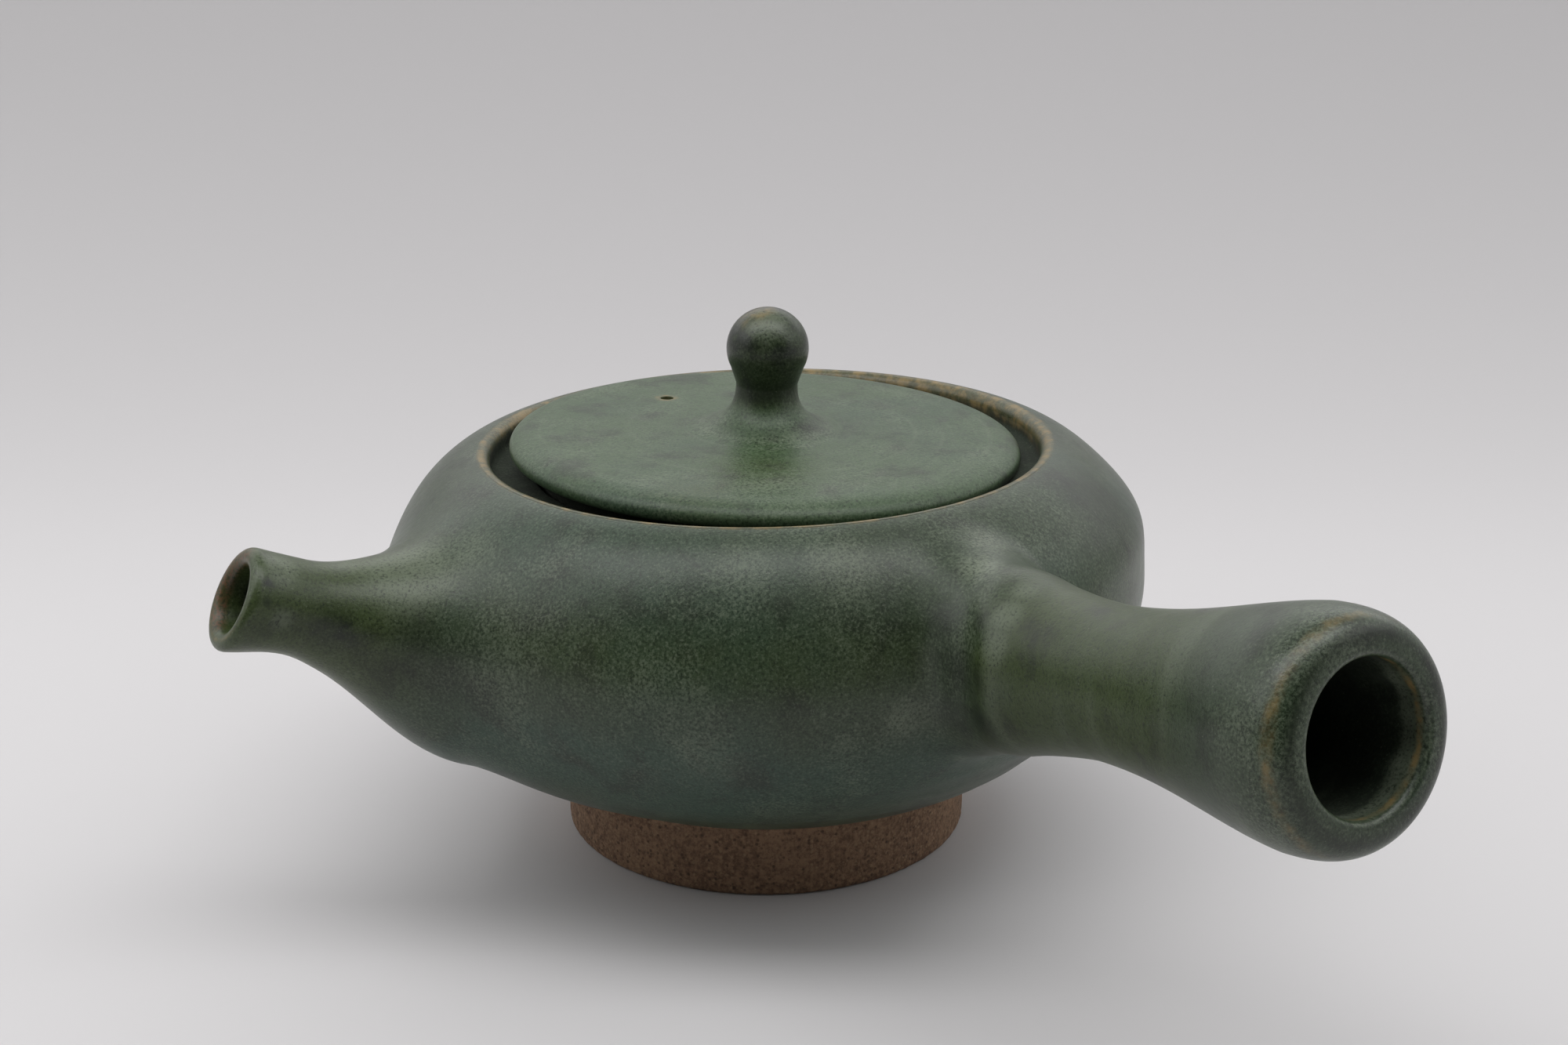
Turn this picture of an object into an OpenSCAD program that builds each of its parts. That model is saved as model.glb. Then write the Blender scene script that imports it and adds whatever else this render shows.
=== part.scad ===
// Side-handled teapot (kyusu) of thrown stoneware, in millimetres.
// The origin is the centre of the foot's resting face and +Z is up.
// The hollow handle points along -Y and the spout along -X, as on a right-handed pot.

/* [Body] */
// Radius of the belly at its widest
body_r = 60.6; // [57:0.1:65]
// Height of the widest part of the belly above the table
belly_z = 37.4; // [35:0.1:40]
// Height of the rim's crest above the table
rim_z = 64; // [62:0.1:67]
// Radius of the belly where the glaze ends above the foot
base_r = 33.8; // [33:0.1:37]
// Height of the rolled glaze edge above the foot
glaze_roll = 1; // [0.6:0.1:1.6]
// Fullness of the shoulder, where 2 is an ellipse
shoulder_full = 2.35; // [2.1:0.05:2.7]
// Fullness of the lower belly, where 2 is an ellipse
belly_full = 1.51; // [1.4:0.01:1.9]
// Thickness of the thrown wall
wall = 4.2; // [3.6:0.1:5]
// Thickness of the floor of the pot
floor_t = 5; // [4:0.1:7]

/* [Mouth] */
// Radius of the mouth inside the rim
mouth_r = 43.4; // [42:0.1:45]
// Radius of the rounding on the rim's inner edge
rim_round = 1; // [0.6:0.1:1.6]
// Depth of the lid's ledge below the rim's crest
ledge_drop = 3.8; // [3.2:0.1:4.6]
// Radius of the throat inside the ledge
throat_r = 36.4; // [35:0.1:38]
// Thickness of the ledge
ledge_t = 3.2; // [2.6:0.1:4]

/* [Foot] */
// Outer radius of the foot ring
foot_r = 32.6; // [31.4:0.1:32.8]
// Height of the foot ring
foot_h = 12.5; // [11:0.1:14]
// Thickness of the foot ring
foot_wall = 6.4; // [4:0.1:8]
// Bevel on the foot ring's lower edges
foot_bevel = 0.8; // [0.4:0.1:1.5]

/* [Spout] */
// Height at which the spout's axis meets the pot's own axis
spout_axis_z = 19.3; // [18:0.1:20.5]
// Rise of the spout above the level, in degrees
spout_rise = 22.3; // [20:0.1:24.5]
// Distance from the pot's axis to the spout's mouth, along the spout
spout_reach = 93.6; // [90:0.1:99]
// Radius of the spout's root
spout_root_r = 17; // [16:0.1:18]
// Radius of the spout's neck
spout_neck_r = 7; // [6.2:0.1:8]
// Distance inside the belly's widest part at which the spout's root begins to taper
spout_taper_in = 9.5; // [7.5:0.1:11.5]
// Length of the spout's neck, back from its mouth
spout_neck_l = 7.6; // [5:0.1:10]
// Growth of the radius from the neck to the lip
spout_lip_flare = 0.6; // [0:0.1:1]
// Backward lean of the mouth's upper edge, in degrees
spout_mouth_lean = 12; // [4:0.5:16]
// Thickness of the spout at its lip
spout_lip_wall = 1.8; // [1.4:0.1:2.2]
// Thickness of the spout at its root
spout_root_wall = 3.6; // [3:0.1:4.2]

/* [Strainer] */
// Radius of the opening through the wall behind the spout
port_r = 11.2; // [10:0.1:11.8]
// Clearance of the strainer in that opening
dome_fit = 0.1; // [0.05:0.05:0.3]
// Thickness of the pierced dome
dome_wall = 2.4; // [2:0.1:2.8]
// Distance of the dome's centre inside the wall, along the spout
dome_set = 5; // [4:0.1:6]
// Length of the strainer's collar
collar_h = 6.6; // [6:0.1:7]
// Diameter of each hole in the dome
pierce_d = 1.8; // [1.4:0.1:2.2]
// Rings of holes round the middle one
pierce_rings = 3; // [1:1:3]
// Angle between neighbouring rings of holes, from the dome's centre
pierce_step = 20; // [18:1:24]

/* [Handle] */
// Height at which the handle's axis meets the pot's own axis
handle_axis_z = 35.5; // [34:0.1:37]
// Rise of the handle above the level, in degrees
handle_rise = 11; // [9:0.1:13]
// Distance from the pot's axis to the handle's end, along the handle
handle_reach = 132.5; // [126:0.1:140]
// Radius of the handle's flared root
handle_root_r = 14.4; // [13.6:0.1:15.6]
// Distance inside the belly's widest part at which the handle's flare is full
handle_root_in = 0.7; // [0:0.1:2]
// Radius of the handle's waist
handle_waist_r = 9.8; // [9:0.1:11]
// Distance outside the belly's widest part of the handle's waist
handle_waist_out = 20.3; // [17:0.1:23]
// Radius of the handle's swollen end where its rounding begins
handle_end_r = 15.1; // [14.3:0.1:16]
// Width of the flat round the hole in the handle's end
handle_end_flat = 0.4; // [0.2:0.1:1]
// Radius of the hole in the handle's end
handle_hole_r = 9.6; // [8.6:0.1:10]
// Bevel of the hole's edge
handle_hole_bevel = 0.6; // [0.3:0.1:0.8]
// Thickness of the handle's wall at the waist
handle_wall = 3.8; // [3:0.1:4.4]

/* [Lid] */
// Gap between the lid's edge and the rim
lid_gap = 3; // [2.4:0.1:3.8]
// Thickness of the lid at its edge
lid_t = 5; // [4.6:0.1:6]
// Rounding of the lid's upper edge
lid_round = 2.6; // [1.6:0.1:3.2]
// Rounding of the lid's lower edge
lid_under_round = 1; // [0.4:0.1:1.3]
// Rise of the lid from its edge to its middle
lid_crown = 0.6; // [0.2:0.1:1.5]
// Clearance between the lid's locating ring and the throat
ring_gap = 0.8; // [0.4:0.1:1.2]
// Depth of the locating ring
ring_h = 6; // [4:0.1:8]
// Thickness of the locating ring
ring_wall = 3.4; // [2.6:0.1:4.4]
// Diameter of the steam hole
steam_d = 2.2; // [1.6:0.1:3]
// Distance of the steam hole from the lid's middle
steam_at = 23.4; // [18:0.1:28]
// Bearing of the steam hole round the lid, from +X towards +Y, in degrees
steam_bearing = 101.8; // [0:0.1:360]

/* [Knob] */
// Radius of the knob's ball
knob_r = 6.45; // [6:0.05:7.2]
// Radius of the knob's neck
knob_neck_r = 4.9; // [4.2:0.1:5.4]
// Radius of the knob's spread foot
knob_foot_r = 9.4; // [8:0.1:11]
// Thickness of the spread foot at its edge
knob_foot_t = 0.4; // [0.3:0.1:0.8]
// Height of the knob above the lid
knob_h = 19.3; // [18.2:0.1:21]
// Height of the neck above the lid
knob_neck_h = 7.4; // [6:0.1:8]

/* [Hidden] */
$fn = 96;
GLAZE = "#4f5a4b";
GLAZE_PALE = "#727d70";
CLAY = "#5c4838";
// Straight pieces in each long curve and in each small rounding.
CURVE_STEPS = 22;
ROUND_STEPS = 6;
// Powers that shape the handle's swelling end and its flaring root.
END_SWELL = 1.2;
ROOT_FLARE = 1.4;

function mix(a, b, u) = a + (b - a) * u;
// Eases from 0 to 1 with level ends.
function ease(u) = let (t = min(max(u, 0), 1)) t * t * (3 - 2 * t);
function reversed(list) = [for (i = [len(list) - 1 : -1 : 0]) list[i]];
// Points of an arc round a centre, both ends included.
function arc(centre, r, from, to, steps = ROUND_STEPS) = [
    for (i = [0 : steps])
        let (a = mix(from, to, i / steps))
        centre + r * [cos(a), sin(a)]
];
// Distance along a rising axis at which it lies a given distance from the pot's axis.
function along(r, rise) = r / cos(rise);

base_z = foot_h + glaze_roll;
floor_z = foot_h + floor_t;
ledge_z = rim_z - ledge_drop;
under_ledge_z = ledge_z - ledge_t;

// The belly's outline, from an angle of 0 at the widest part to 90 at either end.
function lower_outline(a) = [
    mix(base_r, body_r, pow(cos(a), 2 / belly_full)),
    mix(belly_z, base_z, pow(sin(a), 2 / belly_full)),
];
function upper_outline(a) = [
    mix(mouth_r, body_r, pow(cos(a), 2 / shoulder_full)),
    mix(belly_z, rim_z, pow(sin(a), 2 / shoulder_full)),
];
// The angle at which the shoulder is as far from the mouth as the rim's rounding.
rim_from = acos(pow(rim_round / (body_r - mouth_r), shoulder_full / 2));

outer_line = concat(
    [for (i = [CURVE_STEPS : -1 : 1]) lower_outline(90 * i / CURVE_STEPS)],
    [for (i = [0 : CURVE_STEPS]) upper_outline(rim_from * i / CURVE_STEPS)]
);
crest_z = outer_line[len(outer_line) - 1][1];
rim_line = arc([mouth_r + rim_round, crest_z - rim_round], rim_round, 90, 180);

// A point of the outline moved inwards, square to the outline there.
function inset(line, i, t) =
    let (
        a = line[max(i - 1, 0)],
        b = line[min(i + 1, len(line) - 1)],
        d = (b - a) / norm(b - a)
    )
    line[i] + t * [-d[1], d[0]];
// Radius at which the line through two points reaches a height.
function radius_at(a, b, z) = mix(a[0], b[0], (z - a[1]) / (b[1] - a[1]));

inner_line = [
    for (i = [0 : len(outer_line) - 1])
        let (p = inset(outer_line, i, wall))
        if (p[1] > floor_z && p[1] < under_ledge_z) p
];
inner_top = reversed(inner_line);
hollow_line = concat(
    [[mouth_r, ledge_z], [throat_r, ledge_z], [throat_r, under_ledge_z]],
    [[radius_at(inner_top[1], inner_top[0], under_ledge_z), under_ledge_z]],
    inner_top,
    [[radius_at(inner_line[1], inner_line[0], floor_z), floor_z], [0, floor_z]]
);
base_line = [[0, foot_h], [base_r - glaze_roll, foot_h]];

// The body's outer form with no hollow in it.
module body_block() {
    rotate_extrude()
        polygon(concat(base_line, outer_line, [[0, crest_z]]));
}

// Frames whose +Z runs outwards from the pot's axis along the spout or the handle.
module along_spout() {
    translate([0, 0, spout_axis_z]) rotate([0, spout_rise - 90, 0]) children();
}
module along_handle() {
    translate([0, 0, handle_axis_z]) rotate([90 - handle_rise, 0, 0]) children();
}

// Where the spout's axis passes the inside of the wall.
port_at = along(body_r - wall, spout_rise);

module pot_body() {
    color(GLAZE)
        difference() {
            rotate_extrude()
                polygon(concat(base_line, outer_line, rim_line, hollow_line));
            along_spout()
                translate([0, 0, port_at - port_r * 2])
                    cylinder(h = spout_reach, r = port_r);
        }
}

module foot_ring() {
    inner_r = foot_r - foot_wall;
    color(CLAY)
        rotate_extrude()
            polygon([
                [inner_r + foot_bevel, 0], [foot_r - foot_bevel, 0],
                [foot_r, foot_bevel], [foot_r, foot_h],
                [inner_r, foot_h], [inner_r, foot_bevel],
            ]);
}

// Where the spout's root begins to taper and where its neck begins.
spout_taper_from = along(body_r, spout_rise) - spout_taper_in;
spout_taper_to = spout_reach - spout_neck_l;
// Outer and inner radius of the spout at a distance along it.
function spout_taper(s) =
    ease((s - spout_taper_from) / (spout_taper_to - spout_taper_from));
function spout_lip(s) =
    pow(max(0, (s - spout_taper_to) / spout_neck_l), 2);
function spout_out(s) =
    mix(spout_root_r, spout_neck_r, spout_taper(s)) + spout_lip_flare * spout_lip(s);
function spout_in(s) =
    min(port_r, spout_out(s) - mix(spout_root_wall, spout_lip_wall, spout_taper(s)));

// The root starts inside the body's form and the tip runs past the mouth's cut.
spout_from = along(base_r, spout_rise);
spout_end = spout_reach + spout_neck_r * 2 * tan(spout_mouth_lean);
spout_steps = [
    for (i = [0 : CURVE_STEPS]) mix(spout_taper_from, spout_end, i / CURVE_STEPS)
];

module spout() {
    cut = spout_root_r * 2;
    color(GLAZE)
        difference() {
            along_spout()
                rotate_extrude()
                    polygon(concat(
                        [[port_r, spout_from], [spout_root_r, spout_from]],
                        [for (s = spout_steps) [spout_out(s), s]],
                        [for (s = reversed(spout_steps)) [spout_in(s), s]]
                    ));
            body_block();
            along_spout()
                translate([0, 0, spout_reach])
                    rotate([0, spout_mouth_lean, 0])
                        translate([0, 0, cut / 2])
                            cube(cut, center = true);
        }
}

dome_r = port_r - dome_fit;

// The dome's frame: its centre on the spout's axis, with +Z outwards along the spout.
module at_dome() {
    along_spout() translate([0, 0, port_at - dome_set]) children();
}

// Half of the dome's section: a quarter circle under a straight collar.
module dome_section(r, h) {
    intersection() {
        circle(r = r);
        translate([0, -r]) square(r);
    }
    square([r, h]);
}

module strainer_dome() {
    inner_r = dome_r - dome_wall;
    hole_from = inner_r - dome_wall;
    color(GLAZE_PALE)
        at_dome()
            difference() {
                rotate_extrude()
                    difference() {
                        dome_section(dome_r, collar_h);
                        dome_section(inner_r, collar_h * 2);
                    }
                for (ring = [0 : pierce_rings])
                    for (k = [0 : max(ring * 6 - 1, 0)])
                        rotate([180 - ring * pierce_step, 0, 60 * (k + 0.5) / max(ring, 1)])
                            translate([0, 0, hole_from])
                                cylinder(h = dome_r, d = pierce_d, $fn = 24);
            }
}

// Where the handle's flare is full, where its waist is and where its end begins to round.
handle_root_at = along(body_r, handle_rise) - handle_root_in;
handle_waist_at = along(body_r, handle_rise) + handle_waist_out;
handle_end_round = handle_end_r - handle_hole_r - handle_hole_bevel - handle_end_flat;
handle_lip_at = handle_reach - handle_end_round;
// Outer and inner radius of the handle at a distance along it.
function end_share(s) =
    pow(max(0, (s - handle_waist_at) / (handle_lip_at - handle_waist_at)), END_SWELL);
function root_share(s) =
    pow(min(max(0, (handle_waist_at - s) / (handle_waist_at - handle_root_at)), 1), ROOT_FLARE);
function handle_out(s) =
    handle_waist_r
    + (handle_end_r - handle_waist_r) * end_share(s)
    + (handle_root_r - handle_waist_r) * root_share(s);
function handle_in(s) =
    handle_waist_r - handle_wall
    + (handle_hole_r - handle_waist_r + handle_wall) * end_share(s)
    + (handle_root_r - handle_waist_r) * root_share(s);

handle_from = along(base_r, handle_rise);
handle_steps = [
    for (i = [0 : CURVE_STEPS]) mix(handle_root_at, handle_lip_at, i / CURVE_STEPS)
];

module handle() {
    lip_centre = [handle_end_r - handle_end_round, handle_lip_at];
    color(GLAZE)
        difference() {
            along_handle()
                rotate_extrude()
                    polygon(concat(
                        [[handle_in(handle_from), handle_from], [handle_root_r, handle_from]],
                        [for (s = handle_steps) [handle_out(s), s]],
                        arc(lip_centre, handle_end_round, 90 / ROUND_STEPS, 90),
                        [[handle_hole_r + handle_hole_bevel, handle_reach],
                            [handle_hole_r, handle_reach - handle_hole_bevel]],
                        [for (s = reversed(handle_steps)) [handle_in(s), s]]
                    ));
            body_block();
        }
}

lid_r = mouth_r - lid_gap;
lid_edge_z = ledge_z + lid_t;
lid_top_r = lid_r - lid_round;
lid_mid_z = lid_edge_z + lid_crown;
// Height of the lid's upper face at a distance from its middle.
function lid_z(r) = mix(lid_mid_z, lid_edge_z, r / lid_top_r);

module lid_plate() {
    under_centre = [lid_r - lid_under_round, ledge_z + lid_under_round];
    top_centre = [lid_top_r, lid_edge_z - lid_round];
    color(GLAZE_PALE)
        difference() {
            rotate_extrude()
                polygon(concat(
                    [[0, ledge_z]],
                    arc(under_centre, lid_under_round, -90, 0),
                    arc(top_centre, lid_round, 0, 90),
                    [[0, lid_mid_z]]
                ));
            rotate([0, 0, steam_bearing])
                translate([steam_at, 0, ledge_z - lid_t])
                    cylinder(h = lid_t * 3, d = steam_d);
        }
}

ring_r = throat_r - ring_gap;

module lid_ring() {
    color(CLAY)
        rotate_extrude()
            translate([ring_r - ring_wall, ledge_z - ring_h])
                square([ring_wall, ring_h]);
}

module lid_knob() {
    foot_z = lid_z(knob_foot_r);
    neck_z = lid_mid_z + knob_neck_h;
    top_z = lid_mid_z + knob_h;
    ball = [0, top_z - knob_r];
    ball_steps = ROUND_STEPS * 2;
    ball_from = -acos(knob_neck_r / knob_r);
    ball_to = mix(ball_from, 90, 1 - 1 / ball_steps);
    color(GLAZE)
        rotate_extrude()
            polygon(concat(
                [[0, lid_mid_z], [knob_foot_r, foot_z]],
                [for (i = [0 : ROUND_STEPS])
                    let (a = 90 * i / ROUND_STEPS)
                    [mix(knob_foot_r, knob_neck_r, sin(a)),
                        mix(neck_z, foot_z + knob_foot_t, cos(a))]],
                arc(ball, knob_r, ball_from, ball_to, ball_steps - 1),
                [[0, top_z]]
            ));
}

pot_body();
foot_ring();
spout();
strainer_dome();
handle();
lid_plate();
lid_ring();
lid_knob();
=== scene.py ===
"""Looks of a side-handled stoneware teapot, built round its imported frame.

Lengths in the classes are millimetres in the frame of the solids; meshes are metres.
"""

import logging
import math
from dataclasses import dataclass, field
from enum import Enum
from typing import Callable, Protocol, Sequence

import bpy
import mathutils
import numpy as np
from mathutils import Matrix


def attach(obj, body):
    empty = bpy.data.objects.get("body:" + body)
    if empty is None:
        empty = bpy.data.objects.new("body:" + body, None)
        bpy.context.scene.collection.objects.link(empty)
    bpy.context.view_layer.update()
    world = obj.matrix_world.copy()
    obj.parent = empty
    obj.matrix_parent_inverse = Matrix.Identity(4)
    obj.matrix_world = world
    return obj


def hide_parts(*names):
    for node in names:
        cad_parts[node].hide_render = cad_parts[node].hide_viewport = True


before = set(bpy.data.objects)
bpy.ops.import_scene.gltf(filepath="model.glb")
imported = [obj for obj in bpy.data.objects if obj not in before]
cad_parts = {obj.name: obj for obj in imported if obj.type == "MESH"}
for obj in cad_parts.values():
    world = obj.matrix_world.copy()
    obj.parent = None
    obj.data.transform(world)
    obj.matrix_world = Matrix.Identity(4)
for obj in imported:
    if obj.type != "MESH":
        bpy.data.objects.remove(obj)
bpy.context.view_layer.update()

LOG = logging.getLogger("kyusu")
MM = 0.001
Array = np.ndarray
Point = tuple[float, float, float]
Outline = list[tuple[float, float]]
ORIGIN: Point = (0.0, 0.0, 0.0)
UPRIGHT: Point = (0.0, 0.0, 1.0)

# The way the camera looks along the table, and the way to its right.
HEADING = math.radians(57.23)
FORWARD = np.array([math.cos(HEADING), math.sin(HEADING), 0.0])
RIGHT = np.array([math.sin(HEADING), -math.cos(HEADING), 0.0])


class Body(Enum):
    """Moving bodies of the pot."""

    POT = "pot"
    RING = "lid_ring"
    LID = "lid"


class Slot(Enum):
    """Finishes named in the record."""

    GLAZE = "green_glaze"
    LID = "lid_glaze"
    INNER = "inner_glaze"
    FOOT = "foot_clay"
    CLAY = "bare_clay"


def ease(u: Array | float) -> Array | float:
    """Eases from 0 to 1 with level ends."""
    t = np.clip(u, 0.0, 1.0)
    return t * t * (3 - 2 * t)


def arc(r: float, z: float, radius: float, start: float, stop: float, steps: int = 8) -> Outline:
    """Points of an arc in a turned outline.

    Args:
        r: Distance of its centre from the turning axis.
        z: Height of its centre.
        radius: Its radius.
        start: First angle in degrees, from outwards towards up.
        stop: Last angle in degrees.
        steps: Straight pieces in it.

    Returns:
        The points, both ends included.
    """
    angles = np.radians(np.linspace(start, stop, steps + 1))
    return [(r + radius * math.cos(a), z + radius * math.sin(a)) for a in angles]


def line(a: tuple[float, float], b: tuple[float, float], steps: int) -> Outline:
    """Points of a straight stretch of an outline, without its two ends."""
    (r, z), (to_r, to_z) = a, b
    return [(r + (to_r - r) * k / steps, z + (to_z - z) * k / steps) for k in range(1, steps)]


class Value:
    """A shader socket that takes part in Python expressions."""

    def __init__(self, paint: "Paint", socket: bpy.types.NodeSocket) -> None:
        """Holds a socket of a paint's tree."""
        self.paint = paint
        self.socket = socket

    def __add__(self, other: "Value | float") -> "Value":
        """Sum."""
        return self.paint.math("ADD", self, other)

    def __sub__(self, other: "Value | float") -> "Value":
        """Difference."""
        return self.paint.math("SUBTRACT", self, other)

    def __rsub__(self, other: float) -> "Value":
        """Difference from a number."""
        return self.paint.math("SUBTRACT", other, self)

    def __mul__(self, other: "Value | float") -> "Value":
        """Product."""
        return self.paint.math("MULTIPLY", self, other)

    def __truediv__(self, other: "Value | float") -> "Value":
        """Quotient."""
        return self.paint.math("DIVIDE", self, other)

    def __pow__(self, other: float) -> "Value":
        """Power."""
        return self.paint.math("POWER", self, other)

    __radd__ = __add__
    __rmul__ = __mul__

    def most(self, other: "Value | float") -> "Value":
        """The larger of two values."""
        return self.paint.math("MAXIMUM", self, other)

    def smooth(self, low: float, high: float) -> "Value":
        """A smooth step.

        Args:
            low: Where it starts from 0.
            high: Where it reaches 1; less than low where it falls from 1 to 0.

        Returns:
            A value from 0 to 1.
        """
        if low > high:
            return 1 - self.smooth(high, low)
        node = self.paint.node(
            "ShaderNodeMapRange",
            {"interpolation_type": "SMOOTHSTEP"},
            {"Value": self, "From Min": low, "From Max": high},
        )
        return Value(self.paint, node.outputs["Result"])


@dataclass(frozen=True)
class Tint:
    """A colour as it is seen, 0 to 255."""

    red: float
    green: float
    blue: float

    def linear(self) -> tuple[float, float, float, float]:
        """The colour in linear light by the usual screen curve, with full alpha."""
        parts = [c / 255 for c in (self.red, self.green, self.blue)]
        return (*[c / 12.92 if c <= 0.04045 else ((c + 0.055) / 1.055) ** 2.4 for c in parts], 1.0)


@dataclass(frozen=True)
class Clouds:
    """A cloudy noise: size of its largest clouds in millimetres, and how its finer clouds follow.

    The seed moves the pattern along, so that two noises differ.
    """

    size: float
    detail: float = 3.0
    rough: float = 0.55
    bend: float = 0.0
    seed: float = 0.0


@dataclass(frozen=True)
class Layer:
    """From which level of a pattern to which a layer comes in, and how much of it shows at least and more."""

    low: float
    high: float
    more: float
    least: float = 0.0

    def over(self, pattern: Value) -> Value:
        """How much of the layer shows on a pattern."""
        share = pattern.smooth(self.low, self.high) * self.more
        return self.least + share if self.least else share


class Paint:
    """A material under construction."""

    CLOUD_STEP: Point = (37.1, 11.7, 23.3)
    GRAIN_STEP: Point = (17.3, 29.9, 7.7)
    SLOW = 0.03

    def __init__(self, name: str) -> None:
        """Starts an empty material that reads object coordinates in millimetres.

        Args:
            name: The material's name.
        """
        self.material = bpy.data.materials.new(name)
        self.material.use_nodes = True
        self.tree = self.material.node_tree
        self.tree.nodes.clear()
        place = self.node("ShaderNodeTexCoord", {}, {})
        self.place = self.scale(place.outputs["Object"], 1 / MM)

    def node(self, kind: str, settings: dict, values: dict) -> bpy.types.Node:
        """Adds a node.

        Args:
            kind: Its type.
            settings: Properties, set first.
            values: Values or links of its inputs, by name or number.

        Returns:
            The node.
        """
        node = self.tree.nodes.new(kind)
        for key, value in settings.items():
            setattr(node, key, value)
        for key, value in values.items():
            if isinstance(value, Value):
                value = value.socket
            if isinstance(value, bpy.types.NodeSocket):
                self.tree.links.new(value, node.inputs[key])
            else:
                node.inputs[key].default_value = value
        return node

    def math(self, operation: str, a: "Value | float", b: "Value | float") -> Value:
        """One Math node on two values."""
        return Value(self, self.node("ShaderNodeMath", {"operation": operation}, {0: a, 1: b}).outputs[0])

    def vector(self, operation: str, a: "Value | Sequence[float]", b: "Value | Sequence[float]") -> Value:
        """One Vector Math node on two vectors.

        Args:
            operation: What the node does.
            a: First vector.
            b: Second vector.

        Returns:
            A number for a product or a distance, else a vector.
        """
        node = self.node("ShaderNodeVectorMath", {"operation": operation}, {0: a, 1: b})
        name = "Value" if operation in ("DOT_PRODUCT", "DISTANCE") else "Vector"
        return Value(self, node.outputs[name])

    def scale(self, vector: "Value | bpy.types.NodeSocket", times: float) -> Value:
        """A vector made longer or shorter."""
        node = self.node("ShaderNodeVectorMath", {"operation": "SCALE"}, {0: vector, "Scale": times})
        return Value(self, node.outputs["Vector"])

    def moved(self, step: Point, seed: float) -> Value:
        """The place in the pattern of one seed."""
        return self.vector("ADD", self.place, tuple(seed * c for c in step))

    def noise(self, clouds: Clouds) -> Value:
        """Cloudy noise.

        Args:
            clouds: Its settings.

        Returns:
            A value about 0.5.
        """
        inputs = {
            "Vector": self.moved(self.CLOUD_STEP, clouds.seed),
            "Scale": 1 / clouds.size,
            "Detail": clouds.detail,
            "Roughness": clouds.rough,
            "Distortion": clouds.bend,
        }
        node = self.node("ShaderNodeTexNoise", {"noise_dimensions": "3D"}, inputs)
        return Value(self, node.outputs["Fac"])

    def grains(self, size: float, seed: float = 0.0) -> tuple[Value, Value]:
        """Round grains.

        Args:
            size: Spacing of the grains in millimetres.
            seed: Moves the pattern along.

        Returns:
            Distance from the nearest grain in spacings, and a value of its own for each grain.
        """
        inputs = {"Vector": self.moved(self.GRAIN_STEP, seed), "Scale": 1 / size, "Randomness": 1.0}
        node = self.node("ShaderNodeTexVoronoi", {"feature": "F1"}, inputs)
        own = self.node("ShaderNodeSeparateColor", {}, {"Color": node.outputs["Color"]})
        return Value(self, node.outputs["Distance"]), Value(self, own.outputs[0])

    def blend(self, share: "Value | float", a: "Value | Tint", b: "Value | Tint") -> Value:
        """Mixes two colours.

        Args:
            share: How much of the second shows.
            a: First colour.
            b: Second colour.

        Returns:
            The mixed colour.
        """
        ends = [c.linear() if isinstance(c, Tint) else c for c in (a, b)]
        settings = {"data_type": "RGBA", "clamp_factor": True}
        node = self.node("ShaderNodeMix", settings, {0: share, 6: ends[0], 7: ends[1]})
        return Value(self, node.outputs[2])

    def round(self, origin: Point, axis: Point) -> tuple[Value, Value]:
        """Place by an axis.

        Args:
            origin: A point on the axis.
            axis: The way that it goes, of length 1.

        Returns:
            Distances along the axis from its origin, and off it.
        """
        off = self.vector("SUBTRACT", self.place, origin)
        along = self.vector("DOT_PRODUCT", off, axis)
        return along, (self.vector("DOT_PRODUCT", off, off) - along * along).most(0.0) ** 0.5

    def streaks(self, along: Value, size: float, seed: float) -> Value:
        """Noise that changes quickly along one way and slowly on all others.

        Args:
            along: The quick way, in millimetres.
            size: Size of the streaks in millimetres.
            seed: Moves the pattern along.

        Returns:
            A value about 0.5.
        """
        quick = self.node("ShaderNodeCombineXYZ", {}, {"X": along / size, "Y": seed})
        at = self.vector("ADD", Value(self, quick.outputs[0]), self.scale(self.place, self.SLOW))
        inputs = {"Vector": at, "Scale": 1.0, "Detail": 2.0}
        node = self.node("ShaderNodeTexNoise", {"noise_dimensions": "3D"}, inputs)
        return Value(self, node.outputs["Fac"])

    def height(self) -> Value:
        """Height above the table."""
        node = self.node("ShaderNodeSeparateXYZ", {}, {0: self.place})
        return Value(self, node.outputs["Z"])

    def bump(self, height: Value, depth: float, strength: float) -> Value:
        """Normals of a relief.

        Args:
            height: Relief from 0 to 1.
            depth: Its depth in millimetres.
            strength: Share of it that shows.

        Returns:
            The normal.
        """
        inputs = {"Height": height, "Distance": depth * MM, "Strength": strength}
        return Value(self, self.node("ShaderNodeBump", {}, inputs).outputs["Normal"])

    def finish(
        self, colour: Value, roughness: Value, normal: Value, **constants: float
    ) -> bpy.types.Material:
        """Puts the layers on a principled shader.

        Args:
            colour: Base colour.
            roughness: Roughness.
            normal: Normal.
            **constants: Further shader inputs that are the same all over, with _ for a space.

        Returns:
            The material.
        """
        inputs = {"Base Color": colour, "Roughness": roughness, "Normal": normal}
        inputs.update({key.replace("_", " "): value for key, value in constants.items()})
        shader = self.node("ShaderNodeBsdfPrincipled", {}, inputs)
        self.node("ShaderNodeOutputMaterial", {}, {"Surface": shader.outputs[0]})
        return self.material


class Spot(Protocol):
    """Anything that marks a part of the surface."""

    def mask(self, paint: Paint) -> Value:
        """1 where the mark is, 0 away from it."""


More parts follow.
